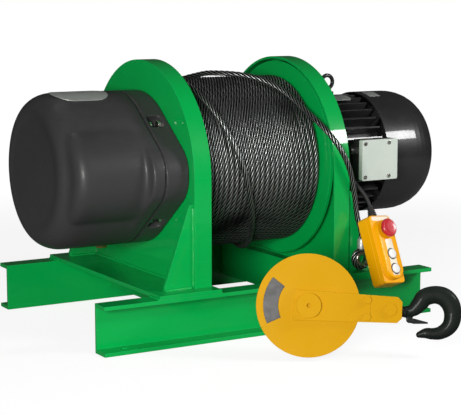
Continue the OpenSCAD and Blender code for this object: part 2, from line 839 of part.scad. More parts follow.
module countershaft() {
    color(steel) {
        x_rod(counter_seat_left, counter_seat_right + bearing_w, shaft_r, -centre_dist);
        gear(output_gear_x - pinion_extra_w / 2, output_gear_w + pinion_extra_w, pinion_teeth,
             -centre_dist);
    }
}
module counter_gear() {
    wheel(counter_gear_x, counter_gear_w, shaft_r, -centre_dist);
}

// Motor
eye_x = frame_x + 76;
eye_boss_r = 15;
eye_boss_out = 8;
fin_turn = 1.7;
eye_boss_h = fin_r + eye_boss_out;
pad_w = 80;
pad_h = 76;
tbox_back = cowl_r + tbox_gap;
tbox_x = frame_x + frame_len - tbox_w - 1;
tbox_z = axis_h + 2;
module motor_frame() {
    inner = frame_r - frame_wall;
    color(black) difference() {
        union() {
            x_rod(frame_x, frame_end, frame_r);
            for (i = [0 : fin_count - 1]) let (a = fin_turn + 360 * i / fin_count)
                translate([frame_x, 0, axis_h]) rotate([a, 0, 0])
                    translate([0, inner, -fin_t / 2]) cube([frame_len, fin_r - inner, fin_t]);
            translate([eye_x, 0, axis_h]) cylinder(h = eye_boss_h, r = eye_boss_r);
            translate([tbox_x + (tbox_w - pad_w) / 2, -tbox_back, tbox_z - pad_h / 2])
                cube([pad_w, tbox_back, pad_h]);
        }
        x_rod(frame_x - cut, frame_end + cut, inner);
        translate([eye_x, 0, axis_h + eye_boss_h - eye_stem_len])
            cylinder(h = eye_stem_len + cut, r = eye_stem_r);
        x_extrude(frame_x + frame_len - loose, frame_end + tbox_w)
            translate([0, axis_h]) circle(r = cowl_r + 2 * loose);
    }
}

module motor_front_shield() {
    color(black) difference() {
        union() {
            x_rod(right_face, bell_x, motor_flange_r);
            x_rod(bell_x - cut, frame_x, frame_r);
            x_rod(right_face - cheek_t, right_face + cut, spigot_r);
            x_rod(drum_right + loose, right_face - cheek_t + cut, sleeve_r + bearing_land);
            x_rod(drum_seat_right, right_face, sleeve_r);
        }
        x_rod(drum_seat_right - cut, front_seat + cut, sleeve_bore_r);
        x_rod(front_seat, frame_x + cut, bearing_r + fit);
        x_ring(bell_x + bearing_land, frame_x + cut, frame_r - frame_wall, bearing_r + seat_wall);
        for (p = motor_bolts_yz)
            x_rod(right_face - cut, bell_x + cut, bolt_r + fit, p[0], axis_h + p[1]);
    }
}

lug_w = 22;
lug_angles = [45, 135, 225, 315];
lug_screw_r = 3;
module motor_rear_shield() {
    color(black) difference() {
        union() {
            x_rod(frame_end, cowl_x, frame_r);
            x_rod(rear_seat - bearing_land, frame_end + cut, bearing_r + seat_wall);
            x_extrude(cowl_x - cut, shield_end) translate([0, axis_h]) {
                circle(r = frame_r);
                intersection() {
                    circle(r = cowl_r - cowl_wall - fit);
                    for (a = lug_angles) rotate(a) translate([0, -lug_w / 2])
                        square([cowl_r, lug_w]);
                }
            }
        }
        x_rod(rear_seat, shield_end + cut, bearing_r + fit);
        x_rod(rear_seat - bearing_land - cut, rear_seat + cut, shaft_r + bearing_land);
    }
}

coil_len = 11;
module stator() {
    outer = frame_r - frame_wall;
    color([0.75, 0.45, 0.20]) {
        x_ring(core_x, core_x + core_len, outer, rotor_r + air_gap);
        for (x = [core_x - coil_len, core_x + core_len - cut])
            x_ring(x, x + coil_len + cut, outer - seat_wall, rotor_r + bearing_land);
    }
}

grille_radii = [30, 52, 74];
grille_counts = [8, 14, 20];
grille_hole_r = 7;
module fan_cowl() {
    inner = cowl_r - cowl_wall;
    outer_end = end_round(cowl_r, cowl_end, cowl_round_x, cowl_round_r, 1);
    inner_end = end_round(inner, cowl_end - cowl_wall, cowl_round_x, cowl_round_r, 1);
    color(black) difference() {
        x_turn(concat([[cowl_r, cowl_x]], outer_end, [[0, cowl_end], [0, cowl_end - cowl_wall]],
                      [for (i = [round_steps : -1 : 0]) inner_end[i]], [[inner, cowl_x]]));
        for (k = [0 : len(grille_radii) - 1], i = [0 : grille_counts[k] - 1])
            let (a = 360 * i / grille_counts[k])
            x_rod(cowl_end - cowl_wall - cut, cowl_end + cut, grille_hole_r,
                  grille_radii[k] * cos(a), axis_h + grille_radii[k] * sin(a));
    }
}

eye_ring_r = 15;
eye_stock_r = 4.5;
eye_stem_r = 4;
eye_stem_len = 14;
eye_collar_r = 10;
eye_collar_h = 5;
module lifting_eye() {
    seat = axis_h + eye_boss_h;
    color(black) translate([eye_x, 0, seat]) {
        translate([0, 0, -eye_stem_len]) cylinder(h = eye_stem_len + cut, r = eye_stem_r - fit);
        cylinder(h = eye_collar_h, r = eye_collar_r);
        translate([0, 0, eye_collar_h + eye_ring_r + eye_stock_r / 2]) rotate([90, 0, 0])
            rotate_extrude() translate([eye_ring_r, 0]) circle(r = eye_stock_r, $fn = 32);
    }
}

module motor_bolts() {
    color(steel) {
        for (p = motor_bolts_yz) {
            x_rod(right_face - cheek_t, bell_x + cut, bolt_r, p[0], axis_h + p[1]);
            translate([bell_x, p[0], axis_h + p[1]]) rotate([0, 90, 0])
                hex_head(bolt_head_r, bolt_head_h);
        }
        for (a = lug_angles) translate([cowl_x + cowl_lap / 2, 0, axis_h]) rotate([a, 0, 0])
            translate([0, cowl_r, 0]) rotate([-90, 0, 0]) cylinder(h = lug_screw_r, r = 2 * lug_screw_r);
    }
}

// Terminal box on its pad, with a lid and four screws, and a gland in its left wall
tscrew_inset = 8;
tscrew_r = 2.5;
tscrew_head_r = 4.5;
tscrew_head_h = 1.5;
tbox_corner = 4;
tscrew_far = 24;
gland_y = tbox_back + tbox_d / 2;
gland_z = tbox_z + 21;
gland_r = 9;
gland_len = 18;
gland_nut_len = 8;
module tbox_shape(depth, inset) {
    rotate([90, 0, 0]) linear_extrude(depth)
        rounded(tbox_w - 2 * inset, tbox_h - 2 * inset, tbox_corner - inset);
}
module tbox_screws_at() {
    for (x = [tscrew_inset - tbox_w / 2, tbox_w / 2 - tscrew_far], z = [-1, 1])
        translate([x, 0, z * (tbox_h / 2 - tscrew_inset)])
            rotate([90, 0, 0]) children();
}
module terminal_box() {
    color(pale_green) difference() {
        translate([tbox_x + tbox_w / 2, -tbox_back, tbox_z]) difference() {
            tbox_shape(tbox_d, 0);
            translate([0, -tbox_wall, 0]) difference() {
                tbox_shape(tbox_d, tbox_wall);
                tbox_screws_at() cylinder(h = tbox_d, r = tscrew_r + tbox_wall);
            }
            translate([0, -tbox_wall, 0]) tbox_screws_at() cylinder(h = tbox_d, r = tscrew_r);
        }
        x_rod(tbox_x - cut, tbox_x + tbox_wall + cut, gland_r - tbox_wall + fit, -gland_y, gland_z);
    }
}
module terminal_lid() {
    color(pale_green) translate([tbox_x + tbox_w / 2, -tbox_back - tbox_d, tbox_z]) difference() {
        tbox_shape(tlid_d, 0);
        translate([0, tlid_d - tbox_wall, 0]) tbox_shape(tlid_d, tbox_wall);
        tbox_screws_at() translate([0, 0, -cut]) cylinder(h = tlid_d + 2 * cut, r = tscrew_r);
    }
}
module terminal_screws() {
    color(steel) translate([tbox_x + tbox_w / 2, -tbox_back - tbox_d, tbox_z]) tbox_screws_at() {
        translate([0, 0, -tbox_d / 2]) cylinder(h = tbox_d / 2 + tlid_d, r = tscrew_r - fit);
        translate([0, 0, tlid_d]) cylinder(h = tscrew_head_h, r = tscrew_head_r);
    }
}
module cable_gland() {
    color(black) difference() {
        union() {
            x_rod(tbox_x - gland_len, tbox_x, gland_r, -gland_y, gland_z);
            translate([tbox_x - gland_nut_len, -gland_y, gland_z]) rotate([0, 90, 0])
                hex_head(gland_r + tbox_wall, gland_nut_len);
            x_rod(tbox_x - cut, tbox_x + tbox_wall + gland_nut_len / 2,
                  gland_r - tbox_wall, -gland_y, gland_z);
        }
        x_rod(tbox_x - gland_len + gland_nut_len, tbox_x + gland_len, cable_d / 2,
              -gland_y, gland_z);
    }
}

// Pendant: drawn upright round its own middle, its face to the front, then put in its place
pendant_out = [42, 28, 47.5];
front_clear = 32;
pendant_at = [right_face + pendant_out[0],
              -max(base_depth / 2, cheek_half_w + front_clear) - pendant_out[1],
              base_top + pendant_out[2]];
pendant_turn = 11.5;
pendant_lean = -25;
pendant_tilt = 5.5;
module at_pendant() {
    translate(pendant_at) rotate([0, 0, pendant_turn]) rotate([pendant_lean, 0, 0])
        rotate([0, pendant_tilt, 0]) children();
}
// Extrudes an outline of local X and Z from one depth to another
module pendant_slab(y0, y1) {
    translate([0, y1, 0]) rotate([90, 0, 0]) linear_extrude(y1 - y0) children();
}
module pendant_shell(inset) {
    rounded(pendant_w - 2 * inset, pendant_h - 2 * inset, pendant_corner - inset);
}
pendant_front_y = -pendant_d / 2;
pendant_joint_y = pendant_front_y + pendant_front_d;
stop_z = 41;
button_z = -14;
retainer_t = 2;
retainer_lip = 2;
stop_neck_r = 9;
stop_head_t = 9;
bezel_t = 1;
pad_t = 11;
pad_x = -2;
pad_side = 5;
pad_top = 12;
pad_foot = 6;
pad_y = pendant_front_y - pad_t;
bezel_w = 4;
stem_r = 4;
boot_len = 26;
boot_r = 10;
boot_tip_r = 7;
push_z = [button_z, button_z - button_pitch];
switch_front_y = pad_y + pendant_wall + loose + retainer_t + stop_travel + retainer_t;
module y_rod(y0, y1, r, z) {
    translate([pad_x, y1, z]) rotate([90, 0, 0]) cylinder(h = y1 - y0, r = r);
}
// The raised field of the cover that carries the buttons
module pendant_pad(y0, y1, inset) {
    width = pendant_w - 2 * (pad_side + inset);
    translate([pad_x, y1, (pad_foot - pad_top) / 2]) rotate([90, 0, 0]) linear_extrude(y1 - y0)
        rounded(width, pendant_h - pad_top - pad_foot - 2 * inset, width / 2 - cut);
}
module pendant_front() {
    color(amber) at_pendant() difference() {
        union() {
            pendant_slab(pendant_front_y, pendant_joint_y) pendant_shell(0);
            pendant_pad(pad_y, pendant_front_y + cut, 0);
            y_rod(pad_y - bezel_t, pad_y + cut, stop_neck_r + bezel_w, stop_z);
            for (z = push_z) y_rod(pad_y - bezel_t, pad_y + cut, button_r + bezel_w / 2, z);
        }
        pendant_slab(pendant_front_y + pendant_wall, pendant_joint_y + cut)
            pendant_shell(pendant_wall);
        pendant_pad(pad_y + pendant_wall, pendant_front_y + pendant_wall + cut, pendant_wall);
        y_rod(pad_y - bezel_t - cut, pendant_joint_y, stop_neck_r + fit, stop_z);
        for (z = push_z) y_rod(pad_y - bezel_t - cut, pendant_joint_y, button_r + fit, z);
    }
}
module pendant_back() {
    color(amber) at_pendant() difference() {
        pendant_slab(pendant_joint_y, pendant_d / 2) pendant_shell(0);
        pendant_slab(pendant_joint_y - cut, pendant_d / 2 - pendant_wall)
            pendant_shell(pendant_wall);
        translate([0, 0, pendant_h / 2 - pendant_wall - cut])
            cylinder(h = pendant_wall + 2 * cut, r = boot_tip_r + fit);
    }
}
module pendant_boot() {
    color(black) at_pendant() translate([0, 0, pendant_h / 2]) difference() {
        union() {
            cylinder(h = boot_len / 2, r = boot_r);
            cylinder(h = boot_len, r = boot_tip_r);
            translate([0, 0, -pendant_wall - boot_tip_r / 2])
                cylinder(h = pendant_wall + boot_tip_r, r = boot_tip_r);
        }
        translate([0, 0, -pendant_wall - boot_tip_r]) cylinder(h = boot_len, r = cable_d / 2);
    }
}
module switch_block() {
    half = stop_neck_r + retainer_lip;
    color(black) at_pendant() difference() {
        translate([-half, switch_front_y, push_z[1] - half])
            cube([2 * half, pendant_d / 2 - pendant_wall - switch_front_y,
                  stop_z - push_z[1] + 2 * half]);
        for (z = [stop_z, push_z[0], push_z[1]])
            y_rod(switch_front_y - cut, pendant_d / 2 - pendant_wall - cut, stem_r + fit, z);
    }
}
// A button's neck runs in the cover, its retainer sits behind it and its stem in the switch
module button(z, neck_r, out, travel) {
    inner = pad_y + pendant_wall + loose;
    y_rod(pendant_front_y - out, inner + cut, neck_r, z);
    y_rod(inner, inner + retainer_t, neck_r + retainer_lip, z);
    y_rod(inner, switch_front_y + retainer_t, stem_r, z);
}
stop_out = pad_t + bezel_t + stop_travel + loose;
button_out = pad_t + bezel_t + button_travel + loose;
module stop_button() {
    color([0.85, 0.12, 0.15]) at_pendant() {
        button(stop_z, stop_neck_r, stop_out + cut, stop_travel);
        y_rod(pendant_front_y - stop_out - stop_head_t, pendant_front_y - stop_out, stop_r, stop_z);
    }
}
module push_button(z) {
    color([0.95, 0.95, 0.95]) at_pendant() button(z, button_r, button_out, button_travel);
}

eye_stand = 70;

// The two routes were drawn by hand round the winch as it is. Their points follow its cheeks,
// its axis and the ends of the cable
drawn_mid = 8;
drawn_face = 198;
drawn_end_z = 178;
drawn_axis_h = 335;
drawn_gland = [253, -161, 358];
drawn_pendant = [240, -300, 155.5];
rope_end_z = base_top + eye_stand;
function follow_x(x) = x > drawn_face ? x - drawn_face + right_face
    : drum_mid_x + (x - drawn_mid) * (right_face - drum_mid_x) / (drawn_face - drawn_mid);
function follow_z(z, hangs) = z > drawn_axis_h || !hangs ? z - drawn_axis_h + axis_h
    : rope_end_z + (z - drawn_end_z) * (axis_h - rope_end_z) / (drawn_axis_h - drawn_end_z);

// Pendant cable, from the gland to the boot
cable_drawn = [
    [253, -161, 358], [247.5, -161, 358], [235.8, -162.9, 355.2], [226.9, -167.9, 348.2],
    [221, -175.3, 339.3],
    [215.8, -185.3, 328.3], [215.6, -199, 314.4], [222.3, -214, 300.6], [229, -226.5, 288.2],
    [235.4, -237.4, 275.4], [239.4, -247.4, 261.5], [241, -256.4, 246.6],
];
cable_route = [for (i = [0 : len(cable_drawn) - 1])
    let (share = i / (len(cable_drawn) - 1))
    cable_drawn[i] + (1 - share) * ([tbox_x - gland_len, -gland_y, gland_z] - drawn_gland)
        + share * (pendant_at - drawn_pendant)];
module pendant_cable() {
    color(black) tube(rings_along(cable_route, 20), same(cable_d / 2, 40), 8, [0, 0, 1]);
}

// Free end of the rope: from behind the drum's foot up its front, round at the back and over the
// top to the right
rope_drawn = [
    [88, 81.8, 159.5], [76.3, 44.1, 146.1], [64, 3.3, 141], [51.8, -37, 144.8],
    [39.1, -75.7, 156.8], [25.8, -111, 176.4], [12.1, -141.6, 202.9], [-1.9, -166, 235.3],
    [-16, -183.1, 272], [-30, -192.2, 311.4], [-44, -192.9, 351.9], [-58.1, -185.2, 391.6],
    [-72.1, -169.4, 428.9], [-85.8, -146, 462], [-99.3, -116.2, 489.5], [-112.5, -82.4, 510.4],
    [-123.8, -45.7, 524], [-135.6, 2.1, 529.8], [-134.8, 52.7, 521.1], [-117.8, 84.6, 509.6],
    [-85.3, 96.8, 504], [-50.6, 89.9, 507.5], [-23.3, 65.3, 517.9], [-6.6, 24.8, 526.9],
    [6.6, 0.3, 528.3], [21.8, -19.1, 527.9], [41, -37.7, 526], [63.1, -57.1, 521.2],
    [87, -81, 511.3], [107.5, -108.9, 494.7], [121.3, -136.6, 474.4], [129.7, -164.3, 454.8],
    [137.3, -201.6, 432.1], [148.8, -231.6, 407.2], [164.3, -248.4, 378.2], [181.3, -253.4, 345.1],
    [195.4, -251.4, 311.5], [206, -246.5, 277.2], [214, -242.2, 243.2], [219.9, -242.2, 216.4],
    [224.6, -245.9, 196.5], [226, -247, 184], [226, -247, 178],
];
rope_loop_points = 28;
rope_route = [for (i = [0 : len(rope_drawn) - 1]) let (p = rope_drawn[i])
    [follow_x(p[0]), p[1], follow_z(p[2], i >= rope_loop_points)]];
module rope_tail() {
    color(black) tube(rings_along(rope_route, 28), same(rope_d / 2, 90), 8, [1, 0, 0]);
}

// Eye at the rope's end: a ferrule, the rope bent round a thimble, and the thimble
eye_loop_r = 19;
thimble_r = 12;
thimble_wall = 2;
ferrule_r = 9;
ferrule_len = 24;
eye_at = near(rope_route, len(rope_route));
eye_z = base_top + loose + eye_loop_r + rope_d / 2;
module rope_eye() {
    top = eye_z + eye_loop_r;
    color(steel) {
        translate([eye_at[0], eye_at[1], eye_at[2] - ferrule_len]) cylinder(h = ferrule_len, r = ferrule_r);
        translate([eye_at[0], eye_at[1], eye_z]) rotate([90, 0, 0]) {
            rotate_extrude() translate([eye_loop_r, 0]) circle(r = rope_d / 2, $fn = 24);
            difference() {
                cylinder(h = rope_d, r = eye_loop_r - rope_d / 4, center = true);
                cylinder(h = rope_d + cut, r = thimble_r - thimble_wall, center = true);
            }
        }
    }
}

// Hook block: drawn with its sheave pin on local Y, its straps along local X
block_at = [-56, -462];
block_turn = -30.65;
block_lean = 12;
strap_tilt = 3;
hook_tilt = 6;
plate_in = block_gap / 2;
plate_out = plate_in + block_plate_t;
strap_out = plate_out + strap_t;
pivot_head_r = 24;
pivot_head_t = 8;
tie_x = 113;
tie_z = 16;
tie_r = 4;
tie_tube_r = 7;
tie_head_r = 8;
tie_head_t = 4;
trunnion_cap_r = 12;
trunnion_cap_t = 2.5;
strap_joint_x = 119;
strap_groove = 1;
strap_chamfer = 9;
module at_block() {
    translate([block_at[0], block_at[1],
               block_r * cos(block_lean) + plate_out * sin(block_lean)])
        rotate([0, 0, block_turn]) rotate([-block_lean, 0, 0]) rotate([0, strap_tilt, 0]) children();
}
module at_hook() {
    at_block() translate([crosshead_x, 0, 0]) rotate([0, hook_tilt, 0]) children();
}
module side_rod(y0, y1, r, x = 0, z = 0) {
    translate([x, y1, z]) rotate([90, 0, 0]) cylinder(h = y1 - y0, r = r);
}
module block_plate(side) {
    color(amber) at_block() mirror([0, side < 0 ? 0 : 1, 0]) difference() {
        union() {
            side_rod(-plate_out, -plate_in, block_r);
            translate([0, -plate_out + cut, 0]) rotate([90, 0, 0]) linear_extrude(strap_t + cut)
                polygon([
                    [-strap_back, -strap_h_back / 2], [strap_reach - strap_chamfer, -strap_h_end / 2],
                    [strap_reach, strap_chamfer - strap_h_end / 2],
                    [strap_reach, strap_h_end / 2 - strap_chamfer],
                    [strap_reach - strap_chamfer, strap_h_end / 2], [-strap_back, strap_h_back / 2]]);
        }
        translate([strap_joint_x, -strap_out - cut, -strap_h_back])
            cube([strap_groove, strap_groove + cut, 2 * strap_h_back]);
        translate([block_r, -plate_out, -strap_h_back])
            cube([strap_reach, cut, 2 * strap_h_back]);
        side_rod(-strap_out - cut, 0, sheave_pin_r);
        side_rod(-strap_out - cut, 0, trunnion_r + fit, crosshead_x);
        for (z = [-tie_z, tie_z]) side_rod(-strap_out - cut, 0, tie_r, tie_x, z);
    }
}
groove_r = 8;
groove_depth = 14;
module sheave() {
    half = sheave_w / 2;
    floor_r = sheave_r - groove_depth;
    color(steel) at_block() rotate([90, 0, 0]) rotate_extrude($fn = 120) polygon(concat(
        [[sheave_pin_r + fit, -half], [floor_r - groove_r, -half],
         [floor_r - groove_r, -half], [sheave_r, -half]],
        [for (i = [0 : 8]) let (a = 180 * i / 8)
            [sheave_r - groove_depth * sin(a), -(half - retainer_t) * cos(a)]],
        [[sheave_r, half], [sheave_pin_r + fit, half]]));
}
module sheave_pin() {
    color(amber) at_block() difference() {
        union() {
            side_rod(-strap_out - pivot_head_t, strap_out + pivot_head_t, sheave_pin_r - fit);
            side_rod(-strap_out - pivot_head_t, -strap_out, pivot_head_r);
            side_rod(strap_out, strap_out + pivot_head_t, pivot_head_r);
        }
        side_rod(-strap_out - pivot_head_t - cut, -strap_out, tie_r);
    }
}
module block_bolts() {
    color(steel) at_block() {
        for (z = [-tie_z, tie_z]) {
            side_rod(-strap_out - tie_head_t, strap_out + tie_head_t, tie_r - fit, tie_x, z);
            side_rod(-plate_out, plate_out, tie_tube_r, tie_x, z);
            for (s = [-1, 1]) translate([tie_x, s * (strap_out + tie_head_t / 2), z])
                rotate([90, 0, 0]) translate([0, 0, -tie_head_t / 2]) hex_head(tie_head_r, tie_head_t);
        }
        for (s = [-1, 1]) mirror([0, s < 0 ? 0 : 1, 0])
            side_rod(-strap_out - loose - trunnion_cap_t, -strap_out - loose, trunnion_cap_r,
                     crosshead_x);
    }
}
crosshead_half = 14;
module crosshead() {
    reach = plate_out - loose;
    color(steel) at_hook() difference() {
        union() {
            translate([-crosshead_half, -reach, -crosshead_half])
                cube([2 * crosshead_half, 2 * reach, 2 * crosshead_half]);
            side_rod(-strap_out, strap_out, trunnion_r);
        }
        translate([-crosshead_half - cut, 0, 0]) rotate([0, 90, 0])
            cylinder(h = 2 * crosshead_half + 2 * cut, r = shank_r + fit);
    }
}

// Hook: a shank through the crosshead with its nut, and a bowl swept in local X and Z
hook_path = [
    [22, 0], [33, 2], [46, 7], [57, 22], [64, 34], [82, 42], [100, 41], [114, 31], [122, 15],
    [123, -4], [117, -18], [104, -29], [90, -33], [77, -34], [64, -39],
];
hook_radii = [9, 10, 13, 16, 17, 17, 18, 18, 17, 16, 14.5, 12.5, 11, 10, 6];
hook_flat = 0.75;
hook_nut_r = 15;
hook_nut_h = 9;
latch_pin = [41, -14];
latch_len = 36;
latch_t = 1.5;
latch_w = 9;
lug_half = 3;
lug_r = 6;
latch_pin_r = 2;
module hook() {
    color(black) at_hook() difference() {
        union() {
            translate([-crosshead_half - loose - hook_nut_h, 0, 0]) rotate([0, 90, 0])
                cylinder(h = hook_path[1][0] + crosshead_half + loose + hook_nut_h, r = shank_r);
            translate([-crosshead_half - loose - hook_nut_h, 0, 0]) rotate([0, 90, 0])
                hex_head(hook_nut_r, hook_nut_h);
            translate([crosshead_half + loose, 0, 0]) rotate([0, 90, 0])
                cylinder(h = shank_r, r = shank_r + lug_half);
            polyhedron(
                tube_points([for (p = hook_path) [p[0], 0, p[1]]], hook_radii, 16, [0, 0, 1],
                            hook_flat),
                tube_faces(len(hook_path), 16));
            side_rod(-lug_half, lug_half, lug_r, latch_pin[0], latch_pin[1]);
            translate([latch_pin[0] - lug_r, -lug_half, latch_pin[1]])
                cube([2 * lug_r, 2 * lug_half, lug_r + latch_w]);
        }
        side_rod(-lug_half - cut, lug_half + cut, latch_pin_r + fit, latch_pin[0], latch_pin[1]);
    }
}
module hook_latch() {
    inner = lug_half + loose;
    outer = inner + latch_t;
    color(steel) at_hook() translate([latch_pin[0], 0, latch_pin[1]]) {
        side_rod(-outer, outer, latch_pin_r);
        for (s = [-1, 1]) mirror([0, s < 0 ? 0 : 1, 0])
            translate([0, -inner, 0]) rotate([90, 0, 0]) linear_extrude(latch_t)
                polygon([[-latch_pin_r - latch_t, -latch_w / 2], [latch_w, -latch_w / 2 - latch_t],
                         [latch_len, -latch_t], [latch_len, latch_t], [latch_w, latch_w / 2],
                         [-latch_pin_r - latch_t, latch_w / 2]]);
        translate([latch_w, -outer, -latch_t / 2]) cube([latch_len - latch_w, 2 * outer, latch_t]);
    }
}

channel(-1);  // front_channel
channel(1);  // rear_channel
cross_plate(-1);  // left_cross_plate
cross_plate(1);  // right_cross_plate
cheek(-1);  // left_cheek
cheek(1);  // right_cheek
cheek_band(-1);  // left_cheek_band
cheek_band(1);  // right_cheek_band
gussets();
gearbox_housing();
gearbox_cover();
gearbox_gasket();
gearbox_bolts();
oil_plugs();
nameplates();
ball_bearings();
drum_shell();
drum_flange(drum_left);  // drum_flange_left
drum_flange(flange_in_right);  // drum_flange_right
drum_hubs();
output_gear();
rope_core();
rope_winding();
rope_clamp();
drive_shaft();
rotor_core();
cooling_fan();
brake_disc();
countershaft();
counter_gear();
motor_frame();
motor_front_shield();
motor_rear_shield();
stator();
brake_magnet();
fan_cowl();
lifting_eye();
motor_bolts();
terminal_box();
terminal_lid();
terminal_screws();
cable_gland();
pendant_front();
pendant_back();
pendant_boot();
switch_block();
stop_button();
push_button(push_z[0]);  // up_button
push_button(push_z[1]);  // down_button
pendant_cable();
rope_tail();
rope_eye();
block_plate(-1);  // block_front_plate
block_plate(1);  // block_rear_plate
sheave();
sheave_pin();
block_bolts();
crosshead();
hook();
hook_latch();
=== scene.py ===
import math

import bmesh
import bpy
import numpy as np
from mathutils import Matrix, Vector


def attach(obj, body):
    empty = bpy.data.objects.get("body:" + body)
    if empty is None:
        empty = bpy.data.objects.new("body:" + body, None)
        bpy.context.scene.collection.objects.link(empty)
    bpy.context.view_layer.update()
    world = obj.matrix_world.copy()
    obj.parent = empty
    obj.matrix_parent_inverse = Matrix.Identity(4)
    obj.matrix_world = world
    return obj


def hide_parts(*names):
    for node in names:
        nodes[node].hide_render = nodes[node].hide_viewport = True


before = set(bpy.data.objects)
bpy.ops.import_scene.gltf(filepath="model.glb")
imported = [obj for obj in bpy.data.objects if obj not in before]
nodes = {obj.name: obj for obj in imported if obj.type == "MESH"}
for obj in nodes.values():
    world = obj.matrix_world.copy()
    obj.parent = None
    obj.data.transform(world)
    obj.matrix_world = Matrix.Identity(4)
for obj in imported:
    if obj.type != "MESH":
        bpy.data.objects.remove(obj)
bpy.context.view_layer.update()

scene = bpy.context.scene
axisHeight = 335  # mm, the drum's centre line above the floor


# Small helpers for meshes; lengths are in mm until a mesh is made

def smoothShade(obj, degrees):
    obj.data.shade_smooth()
    obj.data.set_sharp_from_angle(angle=math.radians(degrees))


def turnOutward(mesh):
    work = bmesh.new()
    work.from_mesh(mesh)
    bmesh.ops.recalc_face_normals(work, faces=work.faces)
    work.to_mesh(mesh)
    work.free()


def addPiece(name, points, faces, body, slot, stands=(), finish=None, sharp=35, uvs=None):
    # a piece has the finish of its slot, where no other finish is named
    mesh = bpy.data.meshes.new(name)
    mesh.from_pydata((np.asarray(points, float) / 1000).tolist(), [], faces)
    if uvs is None:
        turnOutward(mesh)
    else:
        layer = mesh.uv_layers.new(name="UVMap")
        layer.data.foreach_set("uv", np.asarray(uvs, np.float32).ravel())
    mesh.materials.append(finishes[finish or slot])
    obj = bpy.data.objects.new(name, mesh)
    scene.collection.objects.link(obj)
    smoothShade(obj, sharp)
    return settle(obj, body, stands)


def settle(obj, body, stands=()):
    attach(obj, body)
    if stands:
        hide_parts(*stands)
    return obj


def placeAt(place, *turns):
    matrix = Matrix.Translation(place)
    for degrees, axis in turns:
        matrix = matrix @ Matrix.Rotation(math.radians(degrees), 4, axis)
    return matrix


def moved(points, matrix):
    points = np.asarray(points, float).reshape(-1, 3)
    turn = np.array(matrix.to_3x3())
    return points @ turn.T + np.array(matrix.translation)


def turnedShape(profile, matrix, sides):
    # profile holds radius and height; a radius of zero is one point on the axis
    points, rings, faces = [], [], []
    for radius, height in profile:
        if radius == 0:
            rings.append([len(points)] * sides)
            points.append((0, 0, height))
            continue
        rings.append(list(range(len(points), len(points) + sides)))
        for k in range(sides):
            a = 2 * math.pi * k / sides
            points.append((radius * math.cos(a), radius * math.sin(a), height))
    for low, high in zip(rings, rings[1:]):
        for k in range(sides):
            n = (k + 1) % sides
            face = [low[k], low[n], high[n], high[k]]
            face = [v for i, v in enumerate(face) if v != face[i - 1]]
            if len(face) > 2:
                faces.append(face)
    return moved(points, matrix), faces


def lathe(name, profile, matrix, body, slot, sides, **rest):
    return addPiece(name, *turnedShape(profile, matrix, sides), body, slot, **rest)


def ringFaces(count, rings):
    # quads between rings that follow each other, with the same count of points in each
    return [[i * count + k, i * count + (k + 1) % count,
             (i + 1) * count + (k + 1) % count, (i + 1) * count + k]
            for i in range(rings - 1) for k in range(count)]


def ringCaps(count, rings):
    return [list(range(count))[::-1], list(range((rings - 1) * count, rings * count))]


def loft(name, loops, matrix, body, slot, **rest):
    points = [p for loop in loops for p in loop]
    first, last = ringCaps(len(loops[0]), len(loops))
    faces = [first] + ringFaces(len(loops[0]), len(loops)) + [last]
    return addPiece(name, moved(points, matrix), faces, body, slot, **rest)


def joinMeshes(parts):
    points, faces = [], []
    for partPoints, partFaces in parts:
        start = len(points)
        points += [tuple(p) for p in partPoints]
        faces += [[v + start for v in face] for face in partFaces]
    mesh = bpy.data.meshes.new("joined")
    mesh.from_pydata((np.asarray(points, float) / 1000).tolist(), [], faces)
    turnOutward(mesh)
    return mesh


def waves(place, table):
    return sum(size * np.sin(place * rate + start) for size, rate, start in table)


def evaluatedMesh(obj):
    bpy.context.view_layer.update()
    return bpy.data.meshes.new_from_object(
        obj.evaluated_get(bpy.context.evaluated_depsgraph_get()))


# Routes

def routePoints(route, step):
    route = np.asarray(route, float)
    last = len(route) - 1
    points = []
    for i in range(last):
        a, b = route[max(i - 1, 0)], route[i]
        c, d = route[i + 1], route[min(i + 2, last)]
        count = max(1, round(np.linalg.norm(c - b) / step))
        for t in np.arange(count) / count:
            points.append((2 * b + (c - a) * t + (2 * a - 5 * b + 4 * c - d) * t * t
                           + (3 * b - a - 3 * c + d) * t ** 3) / 2)
    points.append(route[last])
    return np.array(points)


def routeLength(points):
    return float(np.linalg.norm(np.diff(points, axis=0), axis=1).sum())


def routeFrames(points):
    # a side vector carried along the route without twist
    ahead = np.empty_like(points)
    ahead[1:-1] = points[2:] - points[:-2]
    ahead[0], ahead[-1] = points[1] - points[0], points[-1] - points[-2]
    ahead /= np.linalg.norm(ahead, axis=1)[:, None]
    side = np.empty_like(points)
    guess = np.array((0.3, 0.2, 1.0))
    for i, t in enumerate(ahead):
        guess = guess - (guess @ t) * t
        guess = guess / np.linalg.norm(guess)
        side[i] = guess
    return ahead, side, np.cross(ahead, side)


def roundShape(sides):
    return [(k / sides, 1) for k in range(sides)]


